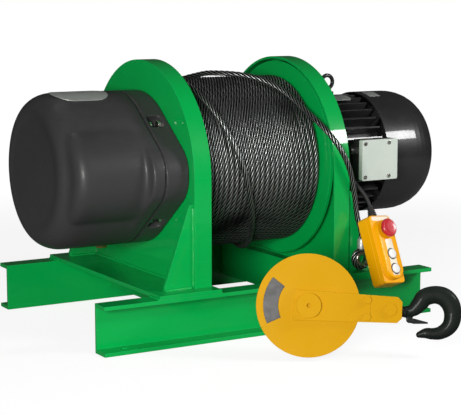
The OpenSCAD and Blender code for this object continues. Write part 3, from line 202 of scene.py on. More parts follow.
def tubeMesh(points, radii, shape, twist=math.inf):
    # shape holds shares of a turn and of the radius, and twist is the mm to one turn; gives
    # points, faces, and loop UVs: turns round the tube, and mm along it
    share, size = np.array(shape, float).T
    _, side, across = routeFrames(points)
    run = np.concatenate([[0], np.cumsum(np.linalg.norm(np.diff(points, axis=0), axis=1))])
    turns = run / twist
    angle = 2 * np.pi * (share[None, :] + turns[:, None])
    reach = np.asarray(radii, float).reshape(-1, 1) * size[None, :]
    verts = (points[:, None, :]
             + (reach * np.cos(angle))[:, :, None] * side[:, None, :]
             + (reach * np.sin(angle))[:, :, None] * across[:, None, :]).reshape(-1, 3)
    shareEnd, quads = np.append(share[1:], share[0] + 1), []
    for around, row in ((share, 0), (shareEnd, 0), (shareEnd, 1), (share, 1)):
        rows = slice(row, len(points) - 1 + row)
        u = around[None, :] + turns[rows, None]
        quads.append(np.stack([u, np.broadcast_to(run[rows, None], u.shape)], 2))
    caps = np.zeros((2 * len(shape), 2))
    uvs = np.concatenate([np.stack(quads, 2).reshape(-1, 2), caps])
    count = len(shape), len(points)
    return verts, ringFaces(*count) + ringCaps(*count), uvs


# Camera, at the photograph's viewing angle

cameraLook = {
    "place": (-1.54606, -2.68286, 0.68663),
    "ahead": (0.50433, 0.85111, -0.14578),
    "lens": 109.93, "sensor": 36, "near": 0.05, "far": 60,
}


def addCamera(look):
    data = bpy.data.cameras.new("viewCamera")
    data.lens, data.sensor_width = look["lens"], look["sensor"]
    data.clip_start, data.clip_end = look["near"], look["far"]
    camera = bpy.data.objects.new("viewCamera", data)
    camera.location = look["place"]
    camera.rotation_euler = Vector(look["ahead"]).to_track_quat("-Z", "Y").to_euler()
    scene.collection.objects.link(camera)
    scene.camera = camera


addCamera(cameraLook)
scene.view_settings.view_transform = "Standard"
print("camera set")


# Shader helpers and the effects that several finishes share

def fill(tree, inputs, values):
    # a socket is linked, and anything else becomes the input's own value
    for key, value in values.items():
        if isinstance(value, bpy.types.NodeSocket):
            tree.links.new(value, inputs[key])
        else:
            inputs[key].default_value = value


def addNode(tree, kind, inputs=None, **settings):
    item = tree.nodes.new("ShaderNode" + kind)
    for key, value in settings.items():
        setattr(item, key, value)
    fill(tree, item.inputs, inputs or {})
    return item


def calc(tree, operation, *values, clamp=False):
    item = addNode(tree, "Math", dict(enumerate(values)), operation=operation)
    item.use_clamp = clamp
    return item.outputs[0]


def spread(tree, value, low, high, newLow=0.0, newHigh=1.0):
    item = addNode(tree, "MapRange", {
        "Value": value, "From Min": low, "From Max": high, "To Min": newLow, "To Max": newHigh})
    item.interpolation_type = "SMOOTHSTEP"
    return item.outputs[0]


def blendColour(tree, share, *colours):
    first, second = [(*c, 1.0) if isinstance(c, (tuple, list)) else c for c in colours]
    return addNode(tree, "Mix", {0: share, 6: first, 7: second}, data_type="RGBA").outputs[2]


def grain(tree, scale, detail=3.0, rough=0.55, vector=None):
    place = vector or addNode(tree, "TexCoord").outputs["Object"]
    return addNode(tree, "TexNoise", {
        "Vector": place, "Scale": scale, "Detail": detail, "Roughness": rough}).outputs[0]


def stretched(tree, scales, turn=(0, 0, 0)):
    place = addNode(tree, "TexCoord").outputs["Object"]
    return addNode(tree, "Mapping", {
        "Vector": place, "Scale": scales, "Rotation": turn}).outputs[0]


def startGroup(name, inputs, output):
    group = bpy.data.node_groups.new(name, "ShaderNodeTree")
    for label, value in inputs.items():
        socket = group.interface.new_socket(label, in_out="INPUT", socket_type="NodeSocketFloat")
        socket.default_value = value
    group.interface.new_socket(output, in_out="OUTPUT", socket_type="NodeSocketFloat")
    source = group.nodes.new("NodeGroupInput")
    target = group.nodes.new("NodeGroupOutput")
    return group, source.outputs, target.inputs[0]


def makeEdgeHighlightAndWear():
    # painted highlight along convex and concave edges, with some wear, broken up by noise
    group, given, out = startGroup("edgeHighlightAndWear", {"Reach": 0.002, "Breakup": 0.5}, "Mask")
    soft = addNode(group, "Bevel", {"Radius": given["Reach"]}, samples=6)
    flat = addNode(group, "NewGeometry")
    match = addNode(group, "VectorMath", {0: soft.outputs[0], 1: flat.outputs["Normal"]},
                    operation="DOT_PRODUCT")
    edge = spread(group, match.outputs["Value"], 0.995, 0.86)
    edgeBreakup = spread(group, grain(group, 160, 4), 0.42, 0.58)
    kept = calc(group, "MULTIPLY_ADD", calc(group, "SUBTRACT", edgeBreakup, 1.0), given["Breakup"], 1.0)
    group.links.new(calc(group, "MULTIPLY", edge, kept, clamp=True), out)
    return group


def makeSettledDust():
    group, given, out = startGroup("settledDust", {"Amount": 0.3, "Scale": 9.0}, "Mask")
    facing = addNode(group, "TexCoord").outputs["Normal"]
    upward = addNode(group, "SeparateXYZ", {0: facing}).outputs["Z"]
    patches = grain(group, given["Scale"], 6.0, 0.65)
    laid = calc(group, "MULTIPLY", spread(group, upward, 0.3, 1.0),
                spread(group, patches, 0.35, 0.7))
    group.links.new(calc(group, "MULTIPLY", laid, given["Amount"], clamp=True), out)
    return group


def makePaintSkin():
    # the slight orange peel of sprayed enamel over plate that isn't quite flat
    group, given, out = startGroup("paintSkin", {"Scale": 260.0, "Wave": 0.4}, "Height")
    peel = grain(group, given["Scale"], 1.0, 0.4)
    wave = calc(group, "MULTIPLY", grain(group, 14, 1), given["Wave"])
    group.links.new(calc(group, "ADD", peel, wave), out)
    return group


def makeCastSkin():
    group, given, out = startGroup("castSkin", {"Scale": 420.0, "Lumps": 1.4}, "Height")
    fine = grain(group, given["Scale"], 4.0, 0.7)
    lumps = calc(group, "MULTIPLY", grain(group, 45, 2), given["Lumps"])
    group.links.new(calc(group, "ADD", fine, lumps), out)
    return group


def makeScuffs():
    group, given, out = startGroup("scuffs", {"Amount": 0.3}, "Mask")
    lines = None
    for turn in ((0.3, 0.2, 0.5), (1.1, -0.4, 2.0)):
        fine = grain(group, 1.0, 2, vector=stretched(group, (9, 420, 420), turn))
        line = spread(group, fine, 0.66, 0.72)
        lines = line if lines is None else calc(group, "MAXIMUM", lines, line)
    patches = spread(group, grain(group, 7, 2), 0.5, 0.62)
    kept = calc(group, "MULTIPLY", lines, patches)
    group.links.new(calc(group, "MULTIPLY", kept, given["Amount"], clamp=True), out)
    return group


effects = {"edgeHighlightAndWear": makeEdgeHighlightAndWear(), "settledDust": makeSettledDust(),
           "paintSkin": makePaintSkin(), "castSkin": makeCastSkin(), "scuffs": makeScuffs()}


def effect(tree, name, **inputs):
    return addNode(tree, "Group", inputs, node_tree=effects[name]).outputs[0]


def startFinish(name):
    material = bpy.data.materials.new(name)
    material.use_nodes = True
    tree = material.node_tree
    tree.nodes.clear()
    shader = tree.nodes.new("ShaderNodeBsdfPrincipled")
    out = tree.nodes.new("ShaderNodeOutputMaterial")
    tree.links.new(shader.outputs[0], out.inputs["Surface"])
    return material, tree, shader.inputs


def bumped(tree, height, look):
    # bump over normals that are rounded at the corners
    inputs = {"Height": height, "Strength": look["bump"], "Distance": look["bumpDepth"]}
    if look["corner"]:
        rounded = addNode(tree, "Bevel", {"Radius": look["corner"]}, samples=6)
        inputs["Normal"] = rounded.outputs[0]
    return addNode(tree, "Bump", inputs).outputs[0]


def roughened(tree, value, look):
    return spread(tree, value, 0.3, 0.7, look["rough"] - look["smoother"],
                  look["rough"] + look["rougher"])


def toneWithWornAndHighlitEdges(tree, look):
    # two close tones in clouds, and a lighter colour along the edges: partly rubbed wear, partly a
    # painted highlight
    tone = spread(tree, grain(tree, look["cloud"], 3), 0.3, 0.7)
    colour = blendColour(tree, tone, look["colour"], look["shade"])
    edge = effect(tree, "edgeHighlightAndWear", Reach=look["edgeReach"], Breakup=look["edgeBreakup"])
    return blendColour(tree, calc(tree, "MULTIPLY", edge, look["edgeAmount"]), colour,
                       look["edge"])


def paintFinish(name, look):
    material, tree, shader = startFinish(name)
    colour = toneWithWornAndHighlitEdges(tree, look)
    scuff = effect(tree, "scuffs", Amount=look["scuffs"])
    colour = blendColour(tree, scuff, colour, look["edge"])
    dust = effect(tree, "settledDust", Amount=look["dust"])
    matt = calc(tree, "MULTIPLY", calc(tree, "ADD", dust, scuff), look["dustRough"])
    rough = roughened(tree, grain(tree, 18, 4), look)
    skin = effect(tree, look["skin"], Scale=look["skinScale"])
    fill(tree, shader, {
        "Base Color": blendColour(tree, dust, colour, look["dustColour"]),
        "Roughness": calc(tree, "ADD", rough, matt), "Specular IOR Level": look["gloss"],
        "Coat Weight": look["coat"], "Coat Roughness": look["coatRough"],
        "Normal": bumped(tree, skin, look)})
    return material


def metalFinish(name, look):
    material, tree, shader = startFinish(name)
    streaks = grain(tree, 1.0, 3, vector=stretched(tree, look["streaks"]))
    stain = spread(tree, grain(tree, 30, 4), 0.45, 0.7)
    fill(tree, shader, {
        "Base Color": blendColour(tree, stain, look["colour"], look["stain"]),
        "Metallic": look["metal"], "Roughness": roughened(tree, streaks, look),
        "Normal": bumped(tree, streaks, look)})
    return material


def plasticFinish(name, look):
    material, tree, shader = startFinish(name)
    dust = effect(tree, "settledDust", Amount=look["dust"])
    fill(tree, shader, {
        "Base Color": blendColour(tree, dust, toneWithWornAndHighlitEdges(tree, look), look["dustColour"]),
        "Roughness": roughened(tree, grain(tree, 60, 3), look),
        "Specular IOR Level": look["gloss"], "Coat Weight": look["coat"],
        "Normal": bumped(tree, grain(tree, look["grain"], 2, 0.6), look)})
    return material


ropeLook = {
    "diameter": 12, "lay": 78, "strands": 6, "wires": 46,
    "valley": (0.001, 0.001, 0.001), "crown": (0.44, 0.47, 0.45), "grease": (0.02, 0.02, 0.02),
    "deepFrom": 0.12, "deepTo": 0.5, "wireGap": 0.25, "smearFrom": 0.45, "smearTo": 0.75,
    "smear": 0.2, "crownMetal": 0.95, "darkMetal": 0.25, "dryRough": 0.36, "greasedRough": 0.42,
    "gloss": 0.25, "wireHeight": 0.6, "bump": 0.15, "bumpDepth": 0.0003, "corner": 0,
}


def ropeFinish(look):
    # strands and wires follow the UVs: turns round the rope, and mm along it
    material, tree, shader = startFinish("greasedWire")
    place = addNode(tree, "UVMap", uv_map="UVMap").outputs[0]
    parts = addNode(tree, "SeparateXYZ", {0: place}).outputs
    lead = calc(tree, "DIVIDE", parts["Y"], float(look["lay"]))
    phase = calc(tree, "FRACT", calc(tree, "MULTIPLY", calc(tree, "SUBTRACT", parts["X"], lead),
                                     float(look["strands"])))
    valley = calc(tree, "ABSOLUTE", calc(tree, "SUBTRACT", phase, 0.5))
    valley = calc(tree, "MULTIPLY_ADD", valley, -2.0, 1.0)
    wires = calc(tree, "SINE", calc(tree, "MULTIPLY", parts["X"], 2 * math.pi * look["wires"]))
    wires = calc(tree, "MULTIPLY_ADD", wires, 0.5, 0.5)
    deep = spread(tree, valley, look["deepFrom"], look["deepTo"])
    smear = spread(tree, grain(tree, 9, 3), look["smearFrom"], look["smearTo"])
    gap = spread(tree, wires, 0.3, 0.0)
    dark = calc(tree, "MAXIMUM", deep, calc(tree, "MULTIPLY", gap, look["wireGap"]))
    dark = calc(tree, "MAXIMUM", dark, calc(tree, "MULTIPLY", smear, look["smear"]))
    colour = blendColour(tree, smear, look["crown"], look["grease"])
    height = calc(tree, "SUBTRACT", calc(tree, "MULTIPLY", wires, look["wireHeight"]), deep)
    fill(tree, shader, {
        "Base Color": blendColour(tree, dark, colour, look["valley"]),
        "Metallic": spread(tree, dark, 0, 1, look["crownMetal"], look["darkMetal"]),
        "Roughness": spread(tree, smear, 0, 1, look["dryRough"], look["greasedRough"]),
        "Specular IOR Level": look["gloss"], "Normal": bumped(tree, height, look)})
    return material


# the edge colour goes along the edges as a painted highlight with some wear, and into the scuffs
# as wear
enamel = {
    "colour": (0.001, 0.40, 0.074), "shade": (0.0008, 0.34, 0.060), "edge": (0.03, 0.56, 0.20),
    "edgeReach": 0.0016, "edgeAmount": 0.45, "edgeBreakup": 0.55, "scuffs": 0.15, "dust": 0.04,
    "dustColour": (0.08, 0.32, 0.13), "rough": 0.36, "gloss": 0.12, "coat": 0.8, "coatRough": 0.05,
    "skin": "paintSkin", "skinScale": 240.0, "bump": 0.22, "bumpDepth": 0.0006,
    "corner": 0.0014, "cloud": 2.2, "smoother": 0.05, "rougher": 0.07, "dustRough": 0.35,
}
looks = {
    "green": enamel,
    "gearbox_paint": {**enamel, "colour": (0.042, 0.042, 0.043), "shade": (0.032, 0.032, 0.033),
                      "edge": (0.10, 0.10, 0.10), "edgeAmount": 0.35, "dust": 0.12, "scuffs": 0.15,
                      "dustColour": (0.12, 0.12, 0.12), "rough": 0.44, "gloss": 0.25, "coat": 0.08,
                      "coatRough": 0.14, "bump": 0.3},
    "motor_paint": {**enamel, "colour": (0.024, 0.024, 0.025), "shade": (0.017, 0.017, 0.018),
                    "edge": (0.07, 0.07, 0.07), "edgeAmount": 0.3, "dust": 0.10, "scuffs": 0.12,
                    "dustColour": (0.08, 0.08, 0.08), "rough": 0.38, "gloss": 0.35, "coat": 0.6,
                    "coatRough": 0.08, "corner": 0.001},
    "block_yellow": {**enamel, "colour": (0.62, 0.32, 0.0006), "shade": (0.56, 0.285, 0.0005),
                     "edge": (0.90, 0.56, 0.03), "edgeAmount": 0.5, "scuffs": 0.12, "dust": 0.03,
                     "dustColour": (0.45, 0.30, 0.02), "rough": 0.45, "gloss": 0.06, "coat": 0.0},
    "forged_black": {**enamel, "colour": (0.004, 0.006, 0.005), "shade": (0.009, 0.013, 0.010),
                     "edge": (0.12, 0.15, 0.13), "edgeAmount": 0.5, "dust": 0.08, "scuffs": 0.5,
                     "dustColour": (0.14, 0.18, 0.15), "rough": 0.52, "coat": 0.06,
                     "skin": "castSkin", "skinScale": 220.0, "bump": 1.0},
}
steel = {"colour": (0.50, 0.51, 0.52), "stain": (0.34, 0.34, 0.34), "metal": 1.0, "rough": 0.34,
         "streaks": (40, 400, 400), "bump": 0.25, "bumpDepth": 0.0003, "corner": 0.0006,
         "smoother": 0.08, "rougher": 0.12}
metalLooks = {
    "bare_steel": steel,
    "zinc_steel": {**steel, "colour": (0.58, 0.57, 0.53), "stain": (0.42, 0.40, 0.34),
                   "rough": 0.3},
    "bearing_steel": {**steel, "rough": 0.2, "bump": 0.1},
    "silver_plate": {**steel, "colour": (0.50, 0.53, 0.50), "stain": (0.44, 0.46, 0.44),
                     "metal": 0.6, "rough": 0.45, "streaks": (500, 30, 500), "bump": 0.15},
    "plug_brass": {**steel, "colour": (0.50, 0.34, 0.12), "stain": (0.30, 0.20, 0.08)},
    "coil_copper": {**steel, "colour": (0.48, 0.20, 0.08), "stain": (0.30, 0.12, 0.05),
                    "streaks": (60, 900, 900), "bump": 0.9},
    "laminations": {**steel, "colour": (0.26, 0.26, 0.27), "streaks": (1500, 20, 20), "bump": 0.6},
}
# the edge colour is a painted highlight along the edges, with some rubbing
plastic = {
    "colour": (0.50, 0.56, 0.50), "shade": (0.46, 0.52, 0.46), "edge": (0.75, 0.78, 0.75),
    "edgeReach": 0.0012, "edgeAmount": 0.3, "edgeBreakup": 0.3, "dust": 0.05,
    "dustColour": (0.5, 0.48, 0.44), "rough": 0.42, "coat": 0.1, "grain": 900.0, "bump": 0.2,
    "bumpDepth": 0.0002, "corner": 0.0012, "gloss": 0.5, "cloud": 12, "smoother": 0.04,
    "rougher": 0.06,
}
plasticLooks = {
    "box_grey": {**plastic, "colour": (0.60, 0.66, 0.60), "shade": (0.56, 0.62, 0.56)},
    "fan_plastic": {**plastic, "colour": (0.02, 0.02, 0.02), "shade": (0.03, 0.03, 0.03),
                    "edge": (0.06, 0.06, 0.06)},
    "black_plastic": {**plastic, "colour": (0.012, 0.012, 0.012), "shade": (0.018, 0.018, 0.018),
                      "edge": (0.08, 0.08, 0.08), "rough": 0.4},
    "black_rubber": {**plastic, "colour": (0.010, 0.010, 0.010), "shade": (0.016, 0.016, 0.016),
                     "edge": (0.05, 0.05, 0.05), "rough": 0.55, "coat": 0.0, "dust": 0.12},
    "gasket": {**plastic, "colour": (0.015, 0.015, 0.015), "shade": (0.02, 0.02, 0.02),
               "edge": (0.05, 0.05, 0.05), "rough": 0.7, "coat": 0.0},
    "amber_plastic": {**plastic, "colour": (1.0, 0.44, 0.0006), "shade": (0.96, 0.42, 0.0005),
                      "edge": (0.98, 0.55, 0.03), "edgeAmount": 0.7, "rough": 0.34, "coat": 0.1,
                      "dust": 0.0, "grain": 500.0, "bump": 0.02, "gloss": 0.25},
    "red_plastic": {**plastic, "colour": (0.62, 0.018, 0.03), "shade": (0.56, 0.014, 0.025),
                    "edge": (0.9, 0.25, 0.28), "rough": 0.35, "coat": 0.4, "dust": 0.0,
                    "bump": 0.05},
    "white_plastic": {**plastic, "colour": (0.94, 0.94, 0.94), "shade": (0.90, 0.90, 0.88),
                      "edge": (0.95, 0.95, 0.95), "rough": 0.25, "coat": 0.4, "dust": 0.0},
}
finishes = {name: paintFinish(name, look) for name, look in looks.items()}
finishes.update({name: metalFinish(name, look) for name, look in metalLooks.items()})
finishes.update({name: plasticFinish(name, look) for name, look in plasticLooks.items()})
finishes["rope_steel"] = ropeFinish(ropeLook)
finishes["label_cream"] = plasticFinish("labelCream", {
    **plastic, "colour": (0.92, 0.86, 0.72), "shade": (0.88, 0.80, 0.64), "rough": 0.5,
    "edge": (0.9, 0.85, 0.7), "bump": 0.1})
# the rope's inner layers under the winding, painted near-black as the shade between the turns
finishes["rope_dark"] = plasticFinish("ropeCorePaintedShade", {
    **plastic, "colour": (0.010, 0.010, 0.010), "shade": (0.03, 0.03, 0.03), "rough": 0.35,
    "edge": (0.05, 0.05, 0.05), "bump": 0.6})
print("finishes made")


# Cords first: the rope's free end and the pendant's cable

def strandShape(strands):
    # a laid rope's outline: round strands that touch, as shares of its radius
    bore, strand = 4 / 6, 2 / 6
    shape = []
    for k in range(strands):
        for degrees in (-30, -14, 0, 14):
            a = math.radians(degrees)
            reach = bore * math.cos(a) + math.sqrt(max(0, strand ** 2 - (bore * math.sin(a)) ** 2))
            shape.append((k / strands + degrees / 360, reach))
    return shape


ropeRoute = [
    [88, 81.8, 159.5], [76.3, 44.1, 146.1], [64, 3.3, 141], [51.8, -37, 144.8],
    [39.1, -75.7, 156.8], [25.8, -111, 176.4], [12.1, -141.6, 202.9], [-1.9, -166, 235.3],
    [-16, -183.1, 272], [-30, -192.2, 311.4], [-44, -192.9, 351.9], [-58.1, -185.2, 391.6],
    [-72.1, -169.4, 428.9], [-85.8, -146, 462], [-99.3, -116.2, 489.5], [-112.5, -82.4, 510.4],
    [-123.8, -45.7, 524], [-135.6, 2.1, 529.8], [-134.8, 52.7, 521.1], [-117.8, 84.6, 509.6],
    [-85.3, 96.8, 504], [-50.6, 89.9, 507.5], [-23.3, 65.3, 517.9], [-6.6, 24.8, 526.9],
    [6.6, 0.3, 528.3], [21.8, -19.1, 527.9], [41, -37.7, 526], [63.1, -57.1, 521.2],
    [87, -81, 511.3], [107.5, -108.9, 494.7], [121.3, -136.6, 474.4], [129.7, -164.3, 454.8],
    [137.3, -201.6, 432.1], [148.8, -231.6, 407.2], [164.3, -248.4, 378.2], [181.3, -253.4, 345.1],
    [195.4, -251.4, 311.5], [206, -246.5, 277.2], [214, -242.2, 243.2], [219.9, -242.2, 216.4],
    [224.6, -245.9, 196.5], [226, -247, 184], [226, -247, 178],
]
cableRoute = [
    [253, -161, 358], [247.5, -161, 358], [235.8, -162.9, 355.2], [226.9, -167.9, 348.2],
    [221, -175.3, 339.3], [215.8, -185.3, 328.3], [215.6, -199, 314.4], [222.3, -214, 300.6],
    [229, -226.5, 288.2], [235.4, -237.4, 275.4], [239.4, -247.4, 261.5], [241, -256.4, 246.6],
]


def addRope(name, points, body, stands):
    radii = np.full(len(points), ropeLook["diameter"] / 2)
    shape = strandShape(ropeLook["strands"])
    verts, faces, uvs = tubeMesh(points, radii, shape, ropeLook["lay"])
    return addPiece(name, verts, faces, body, "rope_steel", stands, sharp=60, uvs=uvs)


def addCable(name, points, look, body, stands):
    radii = np.full(len(points), look["diameter"] / 2)
    verts, faces, uvs = tubeMesh(points, radii, roundShape(look["sides"]))
    return addPiece(name, verts, faces, body, "black_rubber", stands, uvs=uvs)


eyeLook = {
    "at": (226, -247, 133.3), "loop": 19, "from": 93, "to": 447, "rings": 40, "thimble": 15,
    "bore": 10, "half": 7, "chamfer": 0.5, "lip": 16.2, "lipHalf": 6, "grooveDeep": 3.2,
    "ferrule": [(0, 153), (7, 153), (9, 155.5), (9, 175), (7.5, 177.5), (6.3, 178), (0, 178)],
}


def addRopeEye(look):
    # the rope bent round a grooved thimble, its end pressed into a ferrule
    x, y, z = look["at"]
    sweep = np.radians(np.linspace(look["from"], look["to"], look["rings"]))
    loop = np.stack([x + look["loop"] * np.cos(sweep), np.full(len(sweep), float(y)),
                     z + look["loop"] * np.sin(sweep)], 1)
    bore, rim, half, chamfer = look["bore"], look["thimble"], look["half"], look["chamfer"]
    groove = [(bore, chamfer - half), (rim, -half)]
    groove += [(look["lip"] - look["grooveDeep"] * math.sin(a), -look["lipHalf"] * math.cos(a))
               for a in np.radians(range(0, 181, 20))]
    groove += [(rim, half), (bore, half - chamfer), (bore, chamfer - half)]
    rest = {"stands": ["rope_eye"]}
    return [addRope("ropeEyeLoop", loop, "frame", **rest),
            lathe("ropeThimble", groove, placeAt(look["at"], (90, "X")), "frame", "zinc_steel", 48,
                  **rest),
            lathe("ropeFerrule", look["ferrule"], placeAt((x, y, 0)), "frame", "zinc_steel", 40,
                  finish="silver_plate", **rest)]


cableLook = {"diameter": 8, "sides": 16}
tailPoints = routePoints(ropeRoute, 5)
ropeTail = addRope("ropeFreeEnd", tailPoints, "frame", ["rope_tail"])
addRopeEye(eyeLook)
cablePoints = routePoints(cableRoute, 3)
cable = addCable("pendantCable", cablePoints, cableLook, "frame", ["pendant_cable"])
print("cords laid:", round(routeLength(tailPoints)), "mm of rope and",
      round(routeLength(cablePoints)), "mm of cable")


# Rope on the drum, one layer that can be seen

windingLook = {
    "radius": 180, "startX": 157.2, "startAngle": -30, "pitch": 12.45, "turns": 23.75, "step": 5.2,
    "sink": 0.18, "sway": 0.15, "shift": 0.15,
    "swayWaves": ((1, 11.3, 1.7), (0.6, 23.9, 0), (0.5, 4.1, 0)),  # size, rate, start
    "shiftWaves": ((1, 8.7, 0.4), (0.7, 17.3, 2.0)),
}


def addWinding(look):
    run = look["turns"] * 2 * math.pi * look["radius"]
    turn = np.linspace(0, look["turns"], int(run / look["step"]))
    angle = np.radians(look["startAngle"] - 360 * turn)
    radius = look["radius"] - look["sink"] - look["sway"] * waves(turn, look["swayWaves"])
    x = look["startX"] - look["pitch"] * turn + look["shift"] * waves(turn, look["shiftWaves"])
    points = np.stack([x, radius * np.cos(angle), axisHeight + radius * np.sin(angle)], 1)
    return addRope("woundRope", points, "drum", ["rope_winding"])


addWinding(windingLook)
print("winding laid")


# CAD pieces that keep their shape and get a finish

keptNodes = {
    "green": ["front_channel", "rear_channel", "left_cross_plate", "right_cross_plate",
              "left_cheek", "right_cheek", "left_cheek_band", "right_cheek_band", "gussets",
              "drum_shell", "drum_flange_left", "drum_flange_right", "drum_hubs"],
    "motor_paint": ["motor_frame", "motor_front_shield", "motor_rear_shield", "fan_cowl",
                    "lifting_eye", "motor_bolts", "terminal_box"],
    "bare_steel": ["output_gear", "drive_shaft", "countershaft", "counter_gear", "sheave",
                   "crosshead", "brake_disc", "brake_magnet", "rope_clamp"],
    "forged_black": ["hook_latch"],
    "zinc_steel": ["gearbox_bolts", "terminal_screws"],
    "bearing_steel": ["ball_bearings"],
    "laminations": ["rotor_core"],
    "coil_copper": ["stator"],
    "fan_plastic": ["cooling_fan"],
    "gasket": ["gearbox_gasket"],
    "plug_brass": ["oil_plugs"],
    "silver_plate": ["nameplates"],
    "box_grey": ["terminal_lid"],
    "black_plastic": ["cable_gland", "switch_block"],
    "block_yellow": ["block_front_plate", "block_rear_plate", "sheave_pin", "block_bolts"],
    "rope_dark": ["rope_core"],
}
for finish, names in keptNodes.items():
    for name in names:
        for slot in nodes[name].material_slots:
            slot.material = finishes[finish]
print("CAD pieces finished")


# Gearbox castings: the CAD solids with cast fillets and soft edges

castingLook = {
    "voxel": 0.0026, "softRounds": 4,
    "castCover": {"node": "gearbox_cover", "rounds": 60, "flatFrom": -0.2405, "flatTo": -0.236},
    "castHousing": {"node": "gearbox_housing", "rounds": 10, "flatFrom": -0.185,
                    "flatTo": -0.16},
}


def voxelSkin(mesh, voxel):
    work = bpy.data.objects.new("work", mesh)
    scene.collection.objects.link(work)
    remesh = work.modifiers.new("remesh", "REMESH")
    remesh.mode, remesh.voxel_size = "VOXEL", voxel
    skin = evaluatedMesh(work)
    bpy.data.objects.remove(work)
    count = len(skin.vertices)
    points, normals = np.empty(count * 3), np.empty(count * 3, np.float32)
    skin.vertices.foreach_get("co", points)
    skin.vertices.foreach_get("normal", normals)
    edges = np.empty(len(skin.edges) * 2, int)
    skin.edges.foreach_get("vertices", edges)
    return skin, points.reshape(-1, 3), normals.reshape(-1, 3).astype(float), edges.reshape(-1, 2)


def relax(points, normals, edges, rounds, weight, hollowOnly=0.0, reach=0.0001):
    # each point moves towards its neighbours, and in hollows more than on ridges
    count = len(points)
    a, b = edges[:, 0], edges[:, 1]
    valence = np.bincount(a, minlength=count) + np.bincount(b, minlength=count)
    for _ in range(rounds):
        total = np.stack([np.bincount(a, points[b, i], count) + np.bincount(b, points[a, i], count)
                          for i in range(3)], 1)
        step = total / valence[:, None] - points
        rise = (step * normals).sum(1)
        share = weight * (1 - hollowOnly + hollowOnly * np.clip(rise / reach, 0, 1))
        points = points + 0.5 * share[:, None] * step
    return points


def finishSkin(name, skin, points, body, slot, stands):
    skin.vertices.foreach_set("co", points.astype(np.float32).ravel())
    skin.update()
    skin.materials.clear()
    skin.materials.append(finishes[slot])
    obj = bpy.data.objects.new(name, skin)
    scene.collection.objects.link(obj)
    obj.data.shade_smooth()
    return settle(obj, body, stands)


def addCasting(name, look):
    own = look[name]
    skin, points, normals, edges = voxelSkin(nodes[own["node"]].data.copy(), look["voxel"])
    low, high = own["flatFrom"], own["flatTo"]
    weight = 1 - np.clip((points[:, 0] - low) / (high - low), 0, 1)
    points = relax(points, normals, edges, own["rounds"], weight, hollowOnly=0.8)
    points = relax(points, normals, edges, look["softRounds"], weight)
    finishSkin(name, skin, points, "frame", "gearbox_paint", [own["node"]])


addCasting("castCover", castingLook)
addCasting("castHousing", castingLook)
print("castings made")


# Pendant: two moulded halves, a boot, a mushroom button and two push buttons

pendantLook = {
    "place": placeAt((240, -300, 155.5), (11.5, "Z"), (-25, "X"), (5.5, "Y")),
    "width": 62, "height": 150, "front": -19, "joint": -7, "back": 19, "corner": 8, "wall": 3,
    "edge": 2.2, "seam": 0.5, "padX": -2, "padWidth": 52, "padHeight": 132, "padMiddle": -3,
    "padFlat": 1, "padRise": 11, "stop": 41, "pushes": (-14, -47), "stopHole": 9.3,
    "pushHole": 10.6,
    "padFoot": ((0, 0), (0.5, -0.8)),  # inset, and depth from the front face
    "padEdge": ((1.4, 1.6), (1.8, 0.8), (2.6, 0.2), (3.6, 0)),  # inset, and depth from the pad
    "pushCollar": [(10.25, 3), (10.25, -1), (11.9, -1), (12.4, -0.4), (12.4, 0.6), (10.6, 3),
                   (10.25, 3)],
    "stopCollar": [(9.3, 3), (9.3, -0.8), (12.2, -0.9), (13.2, -0.4), (13.4, 0.4), (9.8, 3),
                   (9.3, 3)],
    "stopHead": [(0, -6), (9, -6), (9, 16.3), (17, 16.3), (18.6, 16.9), (19.7, 18.4),
                 (20, 20.2), (19.8, 22.4), (18.9, 24.2), (17.4, 25.2), (16.6, 25.3), (15.8, 25),
                 (8, 24.6), (0, 24.5)],
    "pushCap": [(0, -6), (10, -6), (10, 14.1), (9.6, 14.9), (8.6, 15.3), (4, 15.3), (0, 15.3)],
}
labelLook = {  # layers hold inset and depth from the face below
    "strip": {"width": 20, "height": 80, "corner": 4, "middle": -21, "holes": 12.0,
              "layers": ((0, 0.2), (0, -0.25), (0.2, -0.35))},
    "top": {"width": 50, "height": 9.6, "corner": 2, "middle": 67.6,
            "layers": ((0, 0.2), (0, -0.3))},
}
bootLook = {
    "ribs": 5, "ribFrom": 4, "ribPitch": 4.2, "ribRadius": 10, "ribTaper": 0.75,
    "rib": ((-1.3, 0), (-1.3, 1.2), (0, 2), (-0.2, 3.4)),
    "foot": [(4.1, -8), (7, -8), (7, 0), (10, 0), (10.4, 1.2), (10.4, 2.8)],
    "tip": [(6.6, 25.4), (6.2, 26), (4.1, 26), (4.1, -8)],
}


def roundLoop(width, height, radius, depth, middle=0.0, perCorner=14):
    points = []
    for i, (sx, sz) in enumerate(((1, 1), (-1, 1), (-1, -1), (1, -1))):
        for k in range(perCorner):
            a = math.radians(90 * i + 90 * k / (perCorner - 1))
            points.append((sx * (width / 2 - radius) + radius * math.cos(a), depth,
                           middle + sz * (height / 2 - radius) + radius * math.sin(a)))
    return points


def shellLoop(look, inset, depth):
    return roundLoop(look["width"] - 2 * inset, look["height"] - 2 * inset,
                     max(look["corner"] - inset, 2), depth)


def cutRounds(obj, holes, matrix):
    # round holes along local Y, cut with the exact solver and applied
    tools, half, middle, sides = [], 23, -22, 64
    for radius, z in holes:
        profile = [(0, -half), (radius, -half), (radius, half), (0, half)]
        shape = turnedShape(profile, matrix @ placeAt((0, middle, z), (90, "X")), sides)
        tool = bpy.data.objects.new("cut", joinMeshes([shape]))
        scene.collection.objects.link(tool)
        tools.append(tool)
        cutter = obj.modifiers.new("hole", "BOOLEAN")
        cutter.operation, cutter.object, cutter.solver = "DIFFERENCE", tool, "EXACT"
    mesh = evaluatedMesh(obj)
    obj.modifiers.clear()
    obj.data = mesh
    mesh.name = obj.name
    for tool in tools:
        bpy.data.objects.remove(tool)
    smoothShade(obj, 30)


